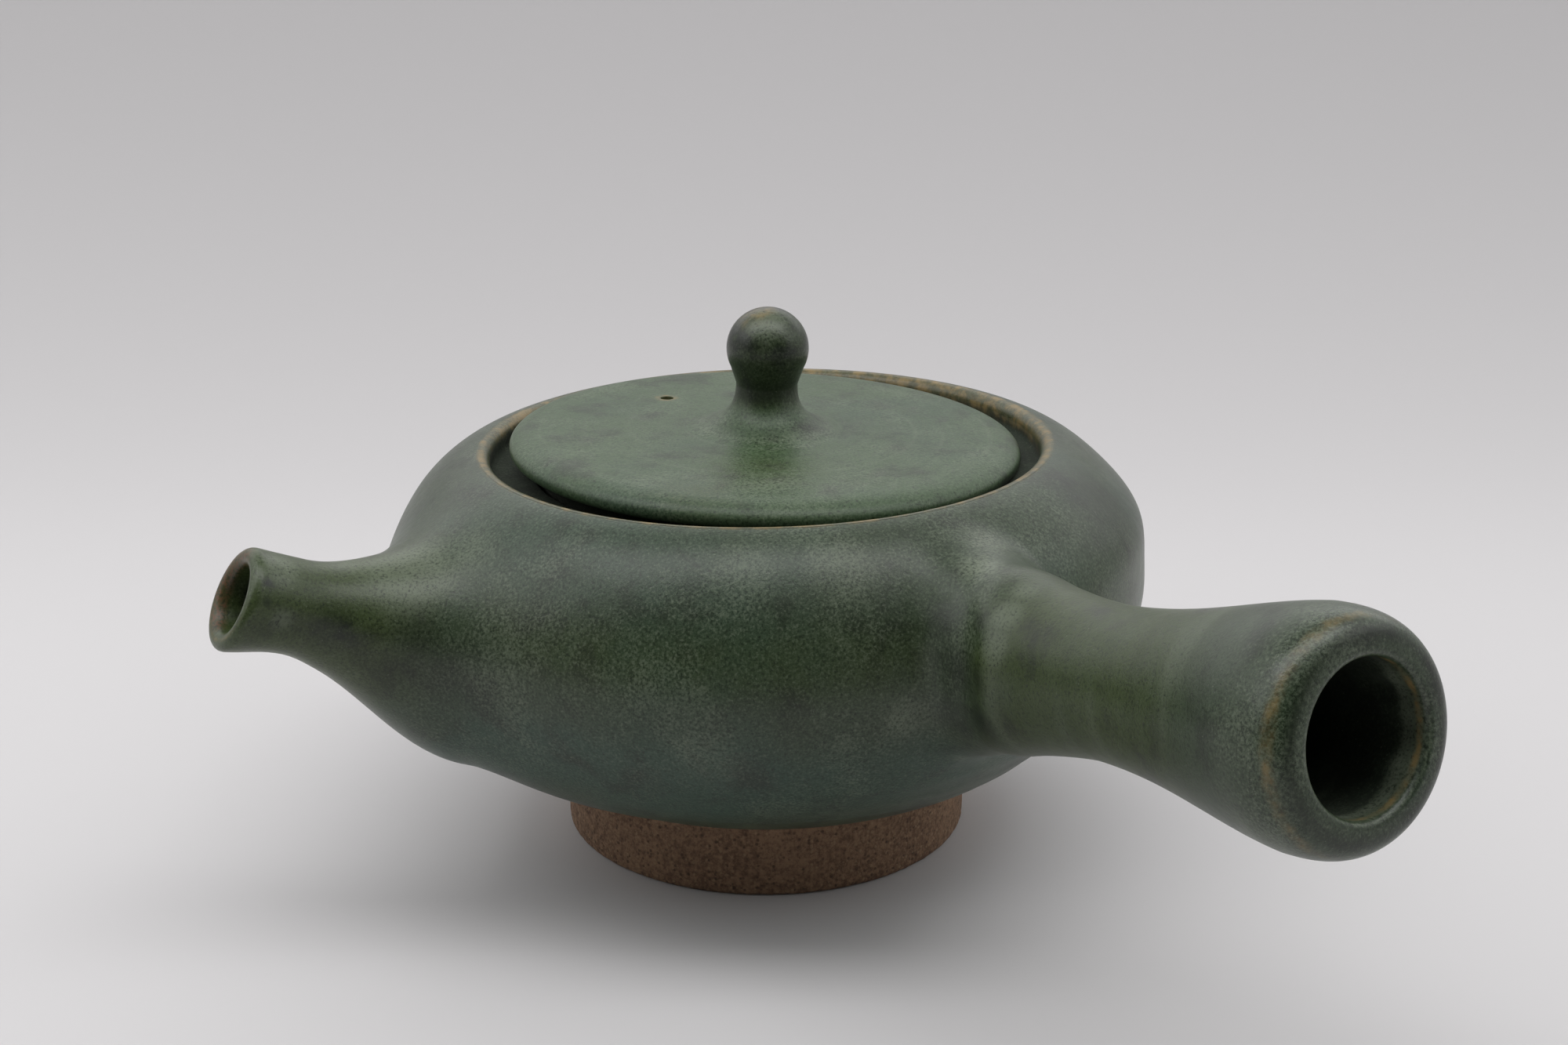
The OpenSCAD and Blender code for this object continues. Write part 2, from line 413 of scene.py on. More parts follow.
@dataclass(frozen=True)
class EdgeBreak:
    """A round edge or valley: its radius, how far along its axis it lies, and how wide and tall it is."""

    radius: float
    along: float
    width: float
    origin: Point = ORIGIN
    axis: Point = UPRIGHT
    strength: float = 1.0
    tall: float = 1.0

    def mask(self, paint: Paint) -> Value:
        """How near a point is to the edge.

        Args:
            paint: The material that it marks.

        Returns:
            1 on the edge, 0 from its width on.
        """
        along, out = paint.round(self.origin, self.axis)
        out, up = out - self.radius, (along - self.along) / self.tall
        return ((out * out + up * up) ** 0.5).smooth(self.width, 0.0) * self.strength


@dataclass(frozen=True)
class Patch:
    """A soft round spot."""

    centre: Point
    reach: float
    strength: float = 1.0

    def mask(self, paint: Paint) -> Value:
        """1 at its middle, 0 from its reach on."""
        return paint.vector("DISTANCE", paint.place, self.centre).smooth(self.reach, 0.0) * self.strength


@dataclass(frozen=True)
class Sleeve:
    """A stretch along an axis, within a distance from it."""

    start: float
    stop: float
    soft: float
    within: float
    origin: Point = ORIGIN
    axis: Point = UPRIGHT
    strength: float = 1.0
    edge: float = 6.0

    def mask(self, paint: Paint) -> Value:
        """Whether a point is inside the stretch.

        Args:
            paint: The material that it marks.

        Returns:
            1 inside the stretch, 0 outside it.
        """
        along, out = paint.round(self.origin, self.axis)
        from_start = along.smooth(self.start - self.soft, self.start + self.soft)
        ends = from_start * along.smooth(self.stop + self.soft, self.stop - self.soft)
        return ends * out.smooth(self.within, self.within - self.edge) * self.strength


@dataclass(frozen=True)
class Part:
    """The part of a mark that lies to one side of a point."""

    spot: Spot
    origin: Point
    way: Point
    soft: float = 3.0

    def mask(self, paint: Paint) -> Value:
        """The mark's own mask, faded out on the other side."""
        ahead = paint.vector("DOT_PRODUCT", paint.vector("SUBTRACT", paint.place, self.origin), self.way)
        return self.spot.mask(paint) * ahead.smooth(-self.soft, self.soft)


@dataclass(frozen=True)
class Streaks:
    """Faint bands that the brush or the wheel left."""

    size: float
    strength: float
    origin: Point = ORIGIN
    axis: Point = UPRIGHT
    start: float = -1000.0
    fade: float = 6.0
    rings: bool = False
    seed: float = 19.0

    def level(self, paint: Paint) -> Value:
        """Darker and paler bands.

        Args:
            paint: The material that they mark.

        Returns:
            A value about 0 that changes from band to band.
        """
        along, out = paint.round(self.origin, self.axis)
        bands = paint.streaks(out if self.rings else along, self.size, self.seed)
        return (bands - 0.5) * along.smooth(self.start, self.start + self.fade) * self.strength


@dataclass(frozen=True)
class Glaze:
    """Satin green glaze: cloudy, finely speckled, brown where it runs thin, with painted shade and painted
    highlights where marked.
    """

    name: str
    deep: Tint = Tint(25, 33, 21)
    green: Tint = Tint(53, 66, 47)
    blue: Tint = Tint(46, 69, 55)
    olive: Tint = Tint(60, 73, 31)
    bloom_and_highlight: Tint = Tint(117, 127, 107)
    tan: Tint = Tint(134, 115, 74)
    rust: Tint = Tint(98, 66, 42)
    clay: Tint = Tint(104, 82, 62)
    wide: Clouds = Clouds(26.0, 3.0, 0.5, 0.4)
    mottle: Clouds = Clouds(8.0, 4.0, 0.6, 0.3, 3.0)
    ragged: Clouds = Clouds(2.2, 4.0, 0.6, 0.0, 5.0)
    fine: Clouds = Clouds(0.42, 3.0, 0.7, 0.0, 7.0)
    dust: Clouds = Clouds(0.4, 1.0, 0.5, 0.0, 9.0)
    veil: Clouds = Clouds(11.0, 4.0, 0.6, 0.3, 17.0)
    blue_clouds: Layer = Layer(0.42, 0.7, 0.45)
    deep_clouds: Layer = Layer(0.48, 0.72, 0.68)
    deep_specks: Layer = Layer(0.5, 0.3, 0.85)
    pale_specks: Layer = Layer(0.7, 0.8, 0.35)
    tan_crumbs: Layer = Layer(0.4, 0.66, 0.65, 0.25)
    rust_crumbs: Layer = Layer(0.44, 0.6, 0.75, 0.2)
    veil_span: tuple[float, float] = (0.42, 0.74)
    frost_span: tuple[float, float] = (0.48, 0.84)
    band_span: float = 0.3
    blue_share: float = 0.85
    olive_least: float = 0.35
    olive_more: float = 0.7
    pool_and_shade_share: float = 0.8
    bloom_and_highlight_share: float = 0.36
    frost_share: float = 0.56
    calm_share: float = 0.46
    frost_off_pools_and_shade: float = 0.75
    thick_veil: float = 0.12
    thick_bloom_and_highlight: float = 0.16
    roughness: float = 0.33
    rough_ragged: float = 0.12
    rough_fine: float = 0.15
    rough_shine: float = -0.12
    rough_dull: float = 0.55
    rough_bare: float = 0.4
    bare_wander: float = 0.7
    bare_soft: float = 0.15
    bump_depth: float = 0.16
    bump_strength: float = 0.6
    ior: float = 1.46
    blues: tuple[Spot, ...] = ()
    olives: tuple[Spot, ...] = ()
    pools_and_shade: tuple[Spot, ...] = ()
    blooms_and_highlights: tuple[Spot, ...] = ()
    breaks_and_highlights: tuple[Spot, ...] = ()
    rusts: tuple[Spot, ...] = ()
    shines: tuple[Spot, ...] = ()
    calms: tuple[Spot, ...] = ()
    dulls: tuple[Spot, ...] = ()
    streaks: tuple[Streaks, ...] = ()
    bare_below: float | None = None

    @staticmethod
    def gather(paint: Paint, spots: Sequence[Spot], ragged: Value) -> Value | float:
        """All spots of one kind together.

        Args:
            paint: The material that they mark.
            spots: The spots.
            ragged: Noise that makes their edges ragged.

        Returns:
            1 on the spots, 0 away from them.
        """
        if not spots:
            return 0.0
        total = spots[0].mask(paint)
        for spot in spots[1:]:
            total = total.most(spot.mask(paint))
        return (total + (ragged - 0.5) * 1.1 * total).smooth(0.05, 0.95)

    def build(self) -> bpy.types.Material:
        """Makes the material.

        Returns:
            The material.
        """
        paint = Paint(self.name)
        wide, mottle = paint.noise(self.wide), paint.noise(self.mottle)
        ragged, fine = paint.noise(self.ragged), paint.noise(self.fine)
        blue = self.gather(paint, self.blues, wide) * self.blue_share + self.blue_clouds.over(wide)
        colour = paint.blend(blue, self.green, self.blue)
        olive = self.olive_least + mottle * self.olive_more
        colour = paint.blend(self.gather(paint, self.olives, mottle) * olive, colour, self.olive)
        # Glaze pools and painted shade darken the colour towards the deep tint.
        pool_and_shade = self.gather(paint, self.pools_and_shade, mottle) * self.pool_and_shade_share
        colour = paint.blend(pool_and_shade + self.deep_clouds.over(mottle), colour, self.deep)
        for streak in self.streaks:
            level = streak.level(paint)
            colour = paint.blend(level.smooth(0.0, self.band_span), colour, self.bloom_and_highlight)
            colour = paint.blend(level.smooth(0.0, -self.band_span), colour, self.deep)
        # Pale bloom in the glaze and painted highlights, both in the pale tint.
        bloom_and_highlight = self.gather(paint, self.blooms_and_highlights, mottle)
        colour = paint.blend(bloom_and_highlight * self.bloom_and_highlight_share, colour, self.bloom_and_highlight)
        # Pale frost lies on the glaze where it is thick and more where highlights are painted, less on calm
        # places and in pools and painted shade.
        thick = paint.noise(self.veil).smooth(*self.veil_span) * self.thick_veil + bloom_and_highlight * self.thick_bloom_and_highlight
        calm = self.gather(paint, self.calms, mottle) * self.calm_share
        frost = (fine + thick).smooth(*self.frost_span) * (self.frost_share - calm)
        colour = paint.blend(frost * (1 - pool_and_shade * self.frost_off_pools_and_shade), colour, self.bloom_and_highlight)
        colour = paint.blend(self.deep_specks.over(fine), colour, self.deep)
        colour = paint.blend(self.pale_specks.over(paint.noise(self.dust)), colour, self.bloom_and_highlight)
        # Thin glaze over edges lets the clay through; some of these tan marks are also painted highlights on
        # lit edges.
        edge = self.gather(paint, self.breaks_and_highlights, ragged) * self.tan_crumbs.over(ragged)
        colour = paint.blend(edge, colour, self.tan)
        rust = self.gather(paint, self.rusts, ragged) * self.rust_crumbs.over(fine)
        colour = paint.blend(rust, colour, self.rust)
        rough = self.roughness + (ragged - 0.5) * self.rough_ragged + (fine - 0.5) * self.rough_fine
        rough = rough + self.gather(paint, self.shines, ragged) * self.rough_shine
        rough = rough + self.gather(paint, self.dulls, ragged) * self.rough_dull
        if self.bare_below is not None:
            over = paint.height() + (ragged - 0.5) * self.bare_wander - self.bare_below
            bare = over.smooth(self.bare_soft, -self.bare_soft)
            colour = paint.blend(bare, colour, paint.blend(fine.smooth(0.4, 0.6), self.clay, self.rust))
            rough = rough + bare * self.rough_bare
        relief = paint.bump(
            fine * 0.45 + ragged * 0.25 + mottle * 0.9, self.bump_depth, self.bump_strength
        )
        return paint.finish(colour, rough, relief, IOR=self.ior)


@dataclass(frozen=True)
class BareClay:
    """Coarse speckled stoneware without glaze, with painted shade above some height where one is given."""

    name: str
    dark: Tint = Tint(102, 78, 60)
    light: Tint = Tint(150, 120, 94)
    grit: Tint = Tint(62, 47, 38)
    sand: Tint = Tint(160, 134, 106)
    shaded_top: Tint = Tint(30, 35, 24)
    stain: Clouds = Clouds(16.0, 4.0, 0.6, 0.2, 2.0)
    grain: Clouds = Clouds(0.9, 4.0, 0.75, 0.0, 4.0)
    grain_span: tuple[float, float] = (0.37, 0.63)
    speck_gap: float = 0.7
    speck_edge: tuple[float, float] = (0.5, 0.2)
    tiny_gap: float = 0.45
    tiny_edge: tuple[float, float] = (0.45, 0.15)
    sand_specks: Layer = Layer(0.68, 0.82, 0.65)
    grit_specks: Layer = Layer(0.4, 0.22, 0.7)
    tiny_specks: Layer = Layer(0.6, 0.7, 0.45)
    roughness: float = 0.86
    rough_grain: float = 0.16
    depth: float = 0.3
    bump_strength: float = 0.8
    ior: float = 1.45
    shaded_above: float | None = None
    shade_wander: float = 3.0
    shade_soft: float = 0.3

    def build(self) -> bpy.types.Material:
        """Makes the material.

        Returns:
            The material.
        """
        paint = Paint(self.name)
        stain, grain = paint.noise(self.stain), paint.noise(self.grain)
        pale = (stain * 0.3 + grain * 0.7).smooth(*self.grain_span)
        colour = paint.blend(pale, self.dark, self.light)
        near, own = paint.grains(self.speck_gap, 1.0)
        specks = near.smooth(*self.speck_edge)
        colour = paint.blend(specks * self.sand_specks.over(own), colour, self.sand)
        colour = paint.blend(specks * self.grit_specks.over(own), colour, self.grit)
        tiny, own = paint.grains(self.tiny_gap, 6.0)
        specks_too = tiny.smooth(*self.tiny_edge) * self.tiny_specks.over(own)
        colour = paint.blend(specks_too, colour, self.sand)
        # Painted shade: darker above the given height, as in the gap under the lid.
        if self.shaded_above is not None:
            over = paint.height() + (stain - 0.5) * self.shade_wander - self.shaded_above
            colour = paint.blend(over.smooth(-self.shade_soft, self.shade_soft), colour, self.shaded_top)
        rough = self.roughness + (grain - 0.5) * self.rough_grain
        relief = paint.bump(grain * 0.75 + specks * 0.25, self.depth, self.bump_strength)
        return paint.finish(colour, rough, relief, IOR=self.ior)


class Bench:
    """Modelling steps that every piece shares."""

    WELD = 2e-6
    DRILL_SIDES = 48
    ASKEW: Point = (0.3, 1.0, 0.2)

    @staticmethod
    def start() -> None:
        """Leaves edit mode and deselects everything."""
        if bpy.context.object is not None and bpy.context.object.mode != "OBJECT":
            bpy.ops.object.mode_set(mode="OBJECT")
        bpy.ops.object.select_all(action="DESELECT")

    @classmethod
    def pick(cls, piece: bpy.types.Object) -> None:
        """Selects one piece alone and makes it the active one."""
        cls.start()
        piece.select_set(True)
        bpy.context.view_layer.objects.active = piece

    @classmethod
    def chain(cls, name: str, points: Sequence[Sequence[float]]) -> bpy.types.Object:
        """Draws a chain of edges and stays in edit mode with all of it selected.

        Args:
            name: The piece's name.
            points: Points along the chain, in millimetres.

        Returns:
            The chain.
        """
        cls.start()
        bpy.ops.mesh.primitive_plane_add(size=MM)
        piece = bpy.context.active_object
        piece.name = piece.data.name = name
        bpy.ops.object.mode_set(mode="EDIT")
        bpy.ops.mesh.select_all(action="SELECT")
        bpy.ops.mesh.merge(type="CENTER")
        at = ORIGIN
        for index, to in enumerate(points):
            move = tuple((b - a) * MM for a, b in zip(at, to))
            if index:
                bpy.ops.mesh.extrude_vertices_move(TRANSFORM_OT_translate={"value": move})
            else:
                bpy.ops.transform.translate(value=move)
            at = to
        bpy.ops.mesh.select_all(action="SELECT")
        return piece

    @classmethod
    def turn(cls, name: str, outline: Outline, steps: int = 240) -> bpy.types.Object:
        """Turns an outline round the upright axis, as on a wheel.

        Args:
            name: The piece's name.
            outline: Radius and height of each point, in millimetres.
            steps: Faces round the piece.

        Returns:
            The turned piece.
        """
        piece = cls.chain(name, [(r, 0.0, z) for r, z in outline])
        bpy.ops.mesh.spin(steps=steps, angle=2 * math.pi, center=ORIGIN, axis=UPRIGHT)
        cls._close()
        return piece

    @classmethod
    def wrap(cls, name: str, rows: Array) -> bpy.types.Object:
        """Wraps a sheet of clay into a closed hollow limb.

        Args:
            name: The piece's name.
            rows: Points by row, way round and coordinate, with the first row and column repeated at the end.

        Returns:
            The limb.
        """
        cls.start()
        down, round_ = rows.shape[0] - 1, rows.shape[1] - 1
        bpy.ops.mesh.primitive_grid_add(x_subdivisions=down, y_subdivisions=round_, size=1.0)
        piece = bpy.context.active_object
        piece.name = piece.data.name = name

        def place(flat: Array) -> Array:
            """Puts each point of the flat sheet on its row.

            Args:
                flat: Points of the sheet, in millimetres.

            Returns:
                Points of the limb.
            """
            i = np.rint((flat[:, 0] * MM + 0.5) * down).astype(int)
            j = np.rint((flat[:, 1] * MM + 0.5) * round_).astype(int)
            return rows[i, j]

        cls.reshape(piece, place)
        bpy.ops.object.mode_set(mode="EDIT")
        cls._close()
        return piece

    @staticmethod
    def _close() -> None:
        """Welds seams and poles of the mesh in edit mode, turns its faces outwards and leaves edit mode."""
        bpy.ops.mesh.select_all(action="SELECT")
        bpy.ops.mesh.remove_doubles(threshold=Bench.WELD)
        bpy.ops.mesh.normals_make_consistent(inside=False)
        bpy.ops.object.mode_set(mode="OBJECT")

    @staticmethod
    def reshape(piece: bpy.types.Object, move: Callable[[Array], Array]) -> None:
        """Moves every point of a piece.

        Args:
            piece: The piece.
            move: Takes and gives points in millimetres.
        """
        points = np.empty(len(piece.data.vertices) * 3)
        piece.data.vertices.foreach_get("co", points)
        points = move(points.reshape(-1, 3) / MM) * MM
        piece.data.vertices.foreach_set("co", points.ravel())
        piece.data.update()

    @classmethod
    def drill(cls, piece: bpy.types.Object, start: Array, along: Array, length: float, radius: float) -> None:
        """Cuts a round hole.

        Args:
            piece: The piece.
            start: Where the drill starts.
            along: The way it goes.
            length: How far it goes.
            radius: Its radius.
        """
        cls.start()
        bpy.ops.mesh.primitive_cylinder_add(
            vertices=cls.DRILL_SIDES, radius=radius * MM, depth=length * MM
        )
        cutter = bpy.context.active_object
        w = along / np.linalg.norm(along)
        u = np.cross(w, cls.ASKEW)
        u /= np.linalg.norm(u)
        turn = np.column_stack([u, np.cross(w, u), w])
        cls.reshape(cutter, lambda p: start + (p + [0, 0, length / 2]) @ turn.T)
        cls.pick(piece)
        cut = piece.modifiers.new("hole", "BOOLEAN")
        cut.operation, cut.solver, cut.object = "DIFFERENCE", "EXACT", cutter
        bpy.ops.object.modifier_apply(modifier=cut.name)
        bpy.data.objects.remove(cutter, do_unlink=True)

    @classmethod
    def dress(
        cls,
        piece: bpy.types.Object,
        material: bpy.types.Material,
        body: Body,
        slot: Slot,
        nodes: Sequence[str],
        angle: float = 50.0,
    ) -> bpy.types.Object:
        """Smooths a piece, gives it its finish and hangs it on its body.

        Args:
            piece: The piece.
            material: Its finish.
            body: The body that it moves with.
            slot: The record's name for its finish; not used.
            nodes: Solids that it stands for.
            angle: Edges sharper than this stay sharp, in degrees.

        Returns:
            The piece.
        """
        cls.pick(piece)
        bpy.ops.object.shade_smooth_by_angle(angle=math.radians(angle))
        piece.data.materials.clear()
        piece.data.materials.append(material)
        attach(piece, body.value)
        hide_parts(*nodes)
        LOG.info("%s: %d faces on %s", piece.name, len(piece.data.polygons), body.value)
        return piece


@dataclass(frozen=True)
class PotForm:
    """Outer form of the thrown body: a full shoulder over a belly that runs in to the foot."""

    body_r: float = 60.6
    belly_z: float = 42.5
    rim_z: float = 64.0
    base_r: float = 33.8
    base_z: float = 13.5
    mouth_r: float = 43.4
    rim_round: float = 1.7
    shoulder_full: float = 1.8
    belly_full: float = 1.64
    soften: float = 2.2
    soft_wide: float = 2.2
    soft_full: float = 1.6
    soft_tall: float = 6.5
    flat_left: float = 0.3
    full_right: float = 1.4
    uneven_z: float = 52.7
    uneven_tall: float = 5.0
    lean: float = 0.75
    tip: float = 0.6
    lean_from: float = 42.0
    lean_tall: float = 20.0
    lean_within: float = 56.0
    lean_fade: float = 24.0
    far: float = 50.0
    probe: float = 0.04
    margin: float = 0.3

    def true_radius(self, z: Array) -> Array:
        """The form as turned true.

        Args:
            z: Heights.

        Returns:
            Its radius at each height.
        """
        up = np.clip((z - self.belly_z) / (self.rim_z - self.belly_z), 0, 1)
        down = np.clip((self.belly_z - z) / (self.belly_z - self.base_z), 0, 1)
        over = (1 - up**self.shoulder_full) ** (1 / self.shoulder_full)
        under = (1 - down**self.belly_full) ** (1 / self.belly_full)
        return np.where(
            z >= self.belly_z,
            self.mouth_r + (self.body_r - self.mouth_r) * over,
            self.base_r + (self.body_r - self.base_r) * under,
        )

    def soft_radius(self, z: Array) -> Array:
        """The form with the turn at the widest part rounded off.

        Args:
            z: Heights.

        Returns:
            Its radius at each height.
        """
        offsets = np.linspace(-self.soft_wide, self.soft_wide, 13)
        weights = np.exp(-(offsets**2) / 2)
        near = [self.true_radius(z + k * self.soften) for k in offsets]
        share = ease(self.soft_full - np.abs(z - self.belly_z) / self.soft_tall)
        return self.true_radius(z) * (1 - share) + np.average(near, axis=0, weights=weights) * share

    def radius(self, z: Array, bearing: Array) -> Array:
        """The form with a shoulder that is fuller on one side.

        Args:
            z: Heights.
            bearing: Angles round the pot's axis.

        Returns:
            Its radius at each height and bearing.
        """
        side = np.cos(bearing - math.atan2(RIGHT[1], RIGHT[0]))
        grow = np.where(side > 0, self.full_right, -self.flat_left) * side**2
        return self.soft_radius(z) + grow * np.exp(-(((z - self.uneven_z) / self.uneven_tall) ** 2))

    def outside(self, p: Array) -> Array:
        """How far points lie outside the form, level with them.

        Args:
            p: Points.

        Returns:
            Their distances, negative inside the form and far above and below it.
        """
        z = p[..., 2]
        gap = np.hypot(p[..., 0], p[..., 1]) - self.radius(z, np.arctan2(p[..., 1], p[..., 0]))
        return np.where((z > self.rim_z) | (z < self.base_z), self.far, gap)

    def gradient(self, p: Array) -> Array:
        """How the distance outside the form grows near points.

        Args:
            p: Points.

        Returns:
            One vector for each point.
        """
        parts = []
        for step in np.eye(3) * self.probe:
            parts.append((self.outside(p + step) - self.outside(p - step)) / (2 * self.probe))
        return np.stack(parts, axis=-1)

    def slope(self, p: Array) -> Array:
        """Outward normals of the form near points."""
        n = self.gradient(p)
        return n / np.linalg.norm(n, axis=-1, keepdims=True)

    def lay(self, p: Array) -> Array:
        """Moves points that are near the form onto it.

        Args:
            p: Points.

        Returns:
            Points on the form.
        """
        z = np.clip(p[:, 2], self.base_z + self.margin, self.rim_z - self.margin)
        p = np.column_stack([p[:, :2], z])
        for _ in range(2):
            n = self.gradient(p)
            p = p - n * (self.outside(p) / np.sum(n * n, axis=-1))[:, None]
        return p

    def settle(self, p: Array) -> Array:
        """Leans the mouth a little, as it dried, and leaves what is far from the body alone.

        Args:
            p: Points as turned.

        Returns:
            Points as dried.
        """
        near = 1 - ease((np.hypot(p[:, 0], p[:, 1]) - self.lean_within) / self.lean_fade)
        high = ease((p[:, 2] - self.lean_from) / self.lean_tall)
        slope = (self.lean * (p @ RIGHT) - self.tip * (p @ FORWARD)) / self.mouth_r
        return p + np.column_stack([np.zeros((len(p), 2)), slope * high * near])


@dataclass(frozen=True)
class Axis:
    """Rising axis of a limb, from where it meets the pot's own axis."""

    height: float
    rise: float
    heading: tuple[float, float]

    @property
    def start(self) -> Array:
        """Where it meets the pot's axis."""
        return np.array([0.0, 0.0, self.height])

    @property
    def way(self) -> Array:
        """The way outwards along it."""
        a = math.radians(self.rise)
        return np.array([self.heading[0] * math.cos(a), self.heading[1] * math.cos(a), math.sin(a)])

    @property
    def up(self) -> Array:
        """The way up, square to it."""
        a = math.radians(self.rise)
        return np.array([-self.heading[0] * math.sin(a), -self.heading[1] * math.sin(a), math.cos(a)])

    @property
    def line(self) -> tuple[Point, Point]:
        """Its start and its way, as a mark takes them."""
        return tuple(self.start), tuple(self.way)

    def at(self, s: float) -> Array:
        """The point a distance along it."""
        return self.start + self.way * s

    def point(self, s: Array, r: Array, turn: Array) -> Array:
        """Points a distance along and off the axis.

        Args:
            s: Distances along it.
            r: Distances off it.
            turn: Angles round it from straight up.

        Returns:
            The points.
        """
        side = np.cross(self.way, self.up)
        out = np.multiply.outer(np.cos(turn), self.up) + np.multiply.outer(np.sin(turn), side)
        return self.start + np.multiply.outer(s, self.way) + np.asarray(r)[..., None] * out


def below(turn: Array) -> Array:
    """0 on top of a limb, 1 under it, by the angle round its axis."""
    return (1 - np.cos(turn)) / 2


@dataclass(frozen=True)
class Reach:
    """How far a smoothed root runs: on top, and how much more at the sides and below."""

    top: float
    side: float
    under: float
    power: float = 1.0

    def at(self, turn: Array) -> Array:
        """The distance at each angle round the limb's axis."""
        return self.top + self.side * np.sin(turn) ** 2 + self.under * below(turn) ** self.power


@dataclass(frozen=True)
class Limb:
    """A hollow limb turned round its own axis and luted to the belly with a smoothed root.

    Its root runs along the limb and over the belly, and is tucked into the belly where it ends.
    """

    form: PotForm
    axis: Axis
    reach: float = 100.0
    along: Reach = Reach(8.0, 0.0, 0.0)
    over: Reach = Reach(8.0, 0.0, 0.0)
    ways_round: int = 176
    root_rows: int = 24
    walk: int = 24
    pull: float = 1.05
    pull_low: float = 1.05
    tucks: tuple[float, ...] = (3.2, 2.2, 1.4, 0.8, 0.35)
    tuck_slope: float = 0.03
    tuck_curve: float = 0.02
    deepest: float = 30.0
    step: float = 0.1
    end_clear: float = 8.0
    look_back: float = 0.2

    @property
    def turns(self) -> Array:
        """Angles round the axis, with the first repeated at the end."""
        return np.linspace(0, 2 * math.pi, self.ways_round + 1)

    def outer(self, s: Array, turn: Array) -> Array:
        """Outer radius at a distance along the axis and an angle round it."""
        raise NotImplementedError

    def meets(self, radius: Callable[[Array, Array], Array], turn: Array, reach: float) -> Array:
        """Where lines of a turned surface enter the belly, as distances along the axis.

        Args:
            radius: Radius of the surface at a distance along the axis and an angle round it.
            turn: Angles round the axis.
            reach: Where the search starts, outside the belly.

        Returns:
            One distance for each angle.
        """
        grid = np.arange(reach, self.deepest, -self.step)
        s = np.repeat(grid[:, None], len(turn), axis=1)
        around = np.broadcast_to(turn, s.shape)
        gap = self.form.outside(self.axis.point(s, radius(s, around), around))
        first = np.argmax(gap < 0, axis=0)
        pick = np.arange(len(turn))
        a, b = gap[first - 1, pick], gap[first, pick]
        return grid[first] + self.step * np.where(a < self.form.far, -b / (a - b), 0.0)

    def over_belly(self, p: Array, turn: Array) -> Array:
        """Ways over the belly, away from the limb.

        Args:
            p: Points on the belly.
            turn: Angles round the axis.

        Returns:
            One way for each point.
        """
        out = self.axis.point(np.zeros_like(turn), np.ones_like(turn), turn) - self.axis.start
        n = self.form.slope(p)
        t = out - n * np.sum(out * n, axis=1, keepdims=True)
        return t / np.linalg.norm(t, axis=1, keepdims=True)

    def root(self, turn: Array) -> tuple[list[Array], Array]:
        """The smoothed root.

        Args:
            turn: Angles round the axis.

        Returns:
            Rows of points from under the glaze of the belly to the limb, and where each line leaves the root.
        """
        meet = self.meets(self.outer, turn, self.reach - self.end_clear)
        leave = meet + self.along.at(turn)
        p = self.axis.point(meet, self.outer(meet, turn), turn)
        stride = (self.over.at(turn) / self.walk)[:, None]
        for _ in range(self.walk):
            p = self.form.lay(p + self.over_belly(p, turn) * stride)
        t = self.over_belly(p, turn)
        a = self.axis.point(leave, self.outer(leave, turn), turn)
        back = leave - self.look_back
        ahead = self.axis.point(back, self.outer(back, turn), turn) - a
        ahead /= np.linalg.norm(ahead, axis=1, keepdims=True)
        pull = self.pull + (self.pull_low - self.pull) * below(turn)
        size = np.linalg.norm(p - a, axis=1, keepdims=True) * pull[:, None]
        rows = []
        for d in self.tucks:
            q = self.form.lay(p + t * d)
            rows.append(q - self.form.slope(q) * (self.tuck_slope * d + self.tuck_curve * d**2))
        for u in np.linspace(1, 0, self.root_rows + 1):
            rows.append(
                (2 * u**3 - 3 * u**2 + 1) * a
                + (u**3 - 2 * u**2 + u) * size * ahead
                + (3 * u**2 - 2 * u**3) * p
                + (u**3 - u**2) * size * t
            )
        return rows, leave


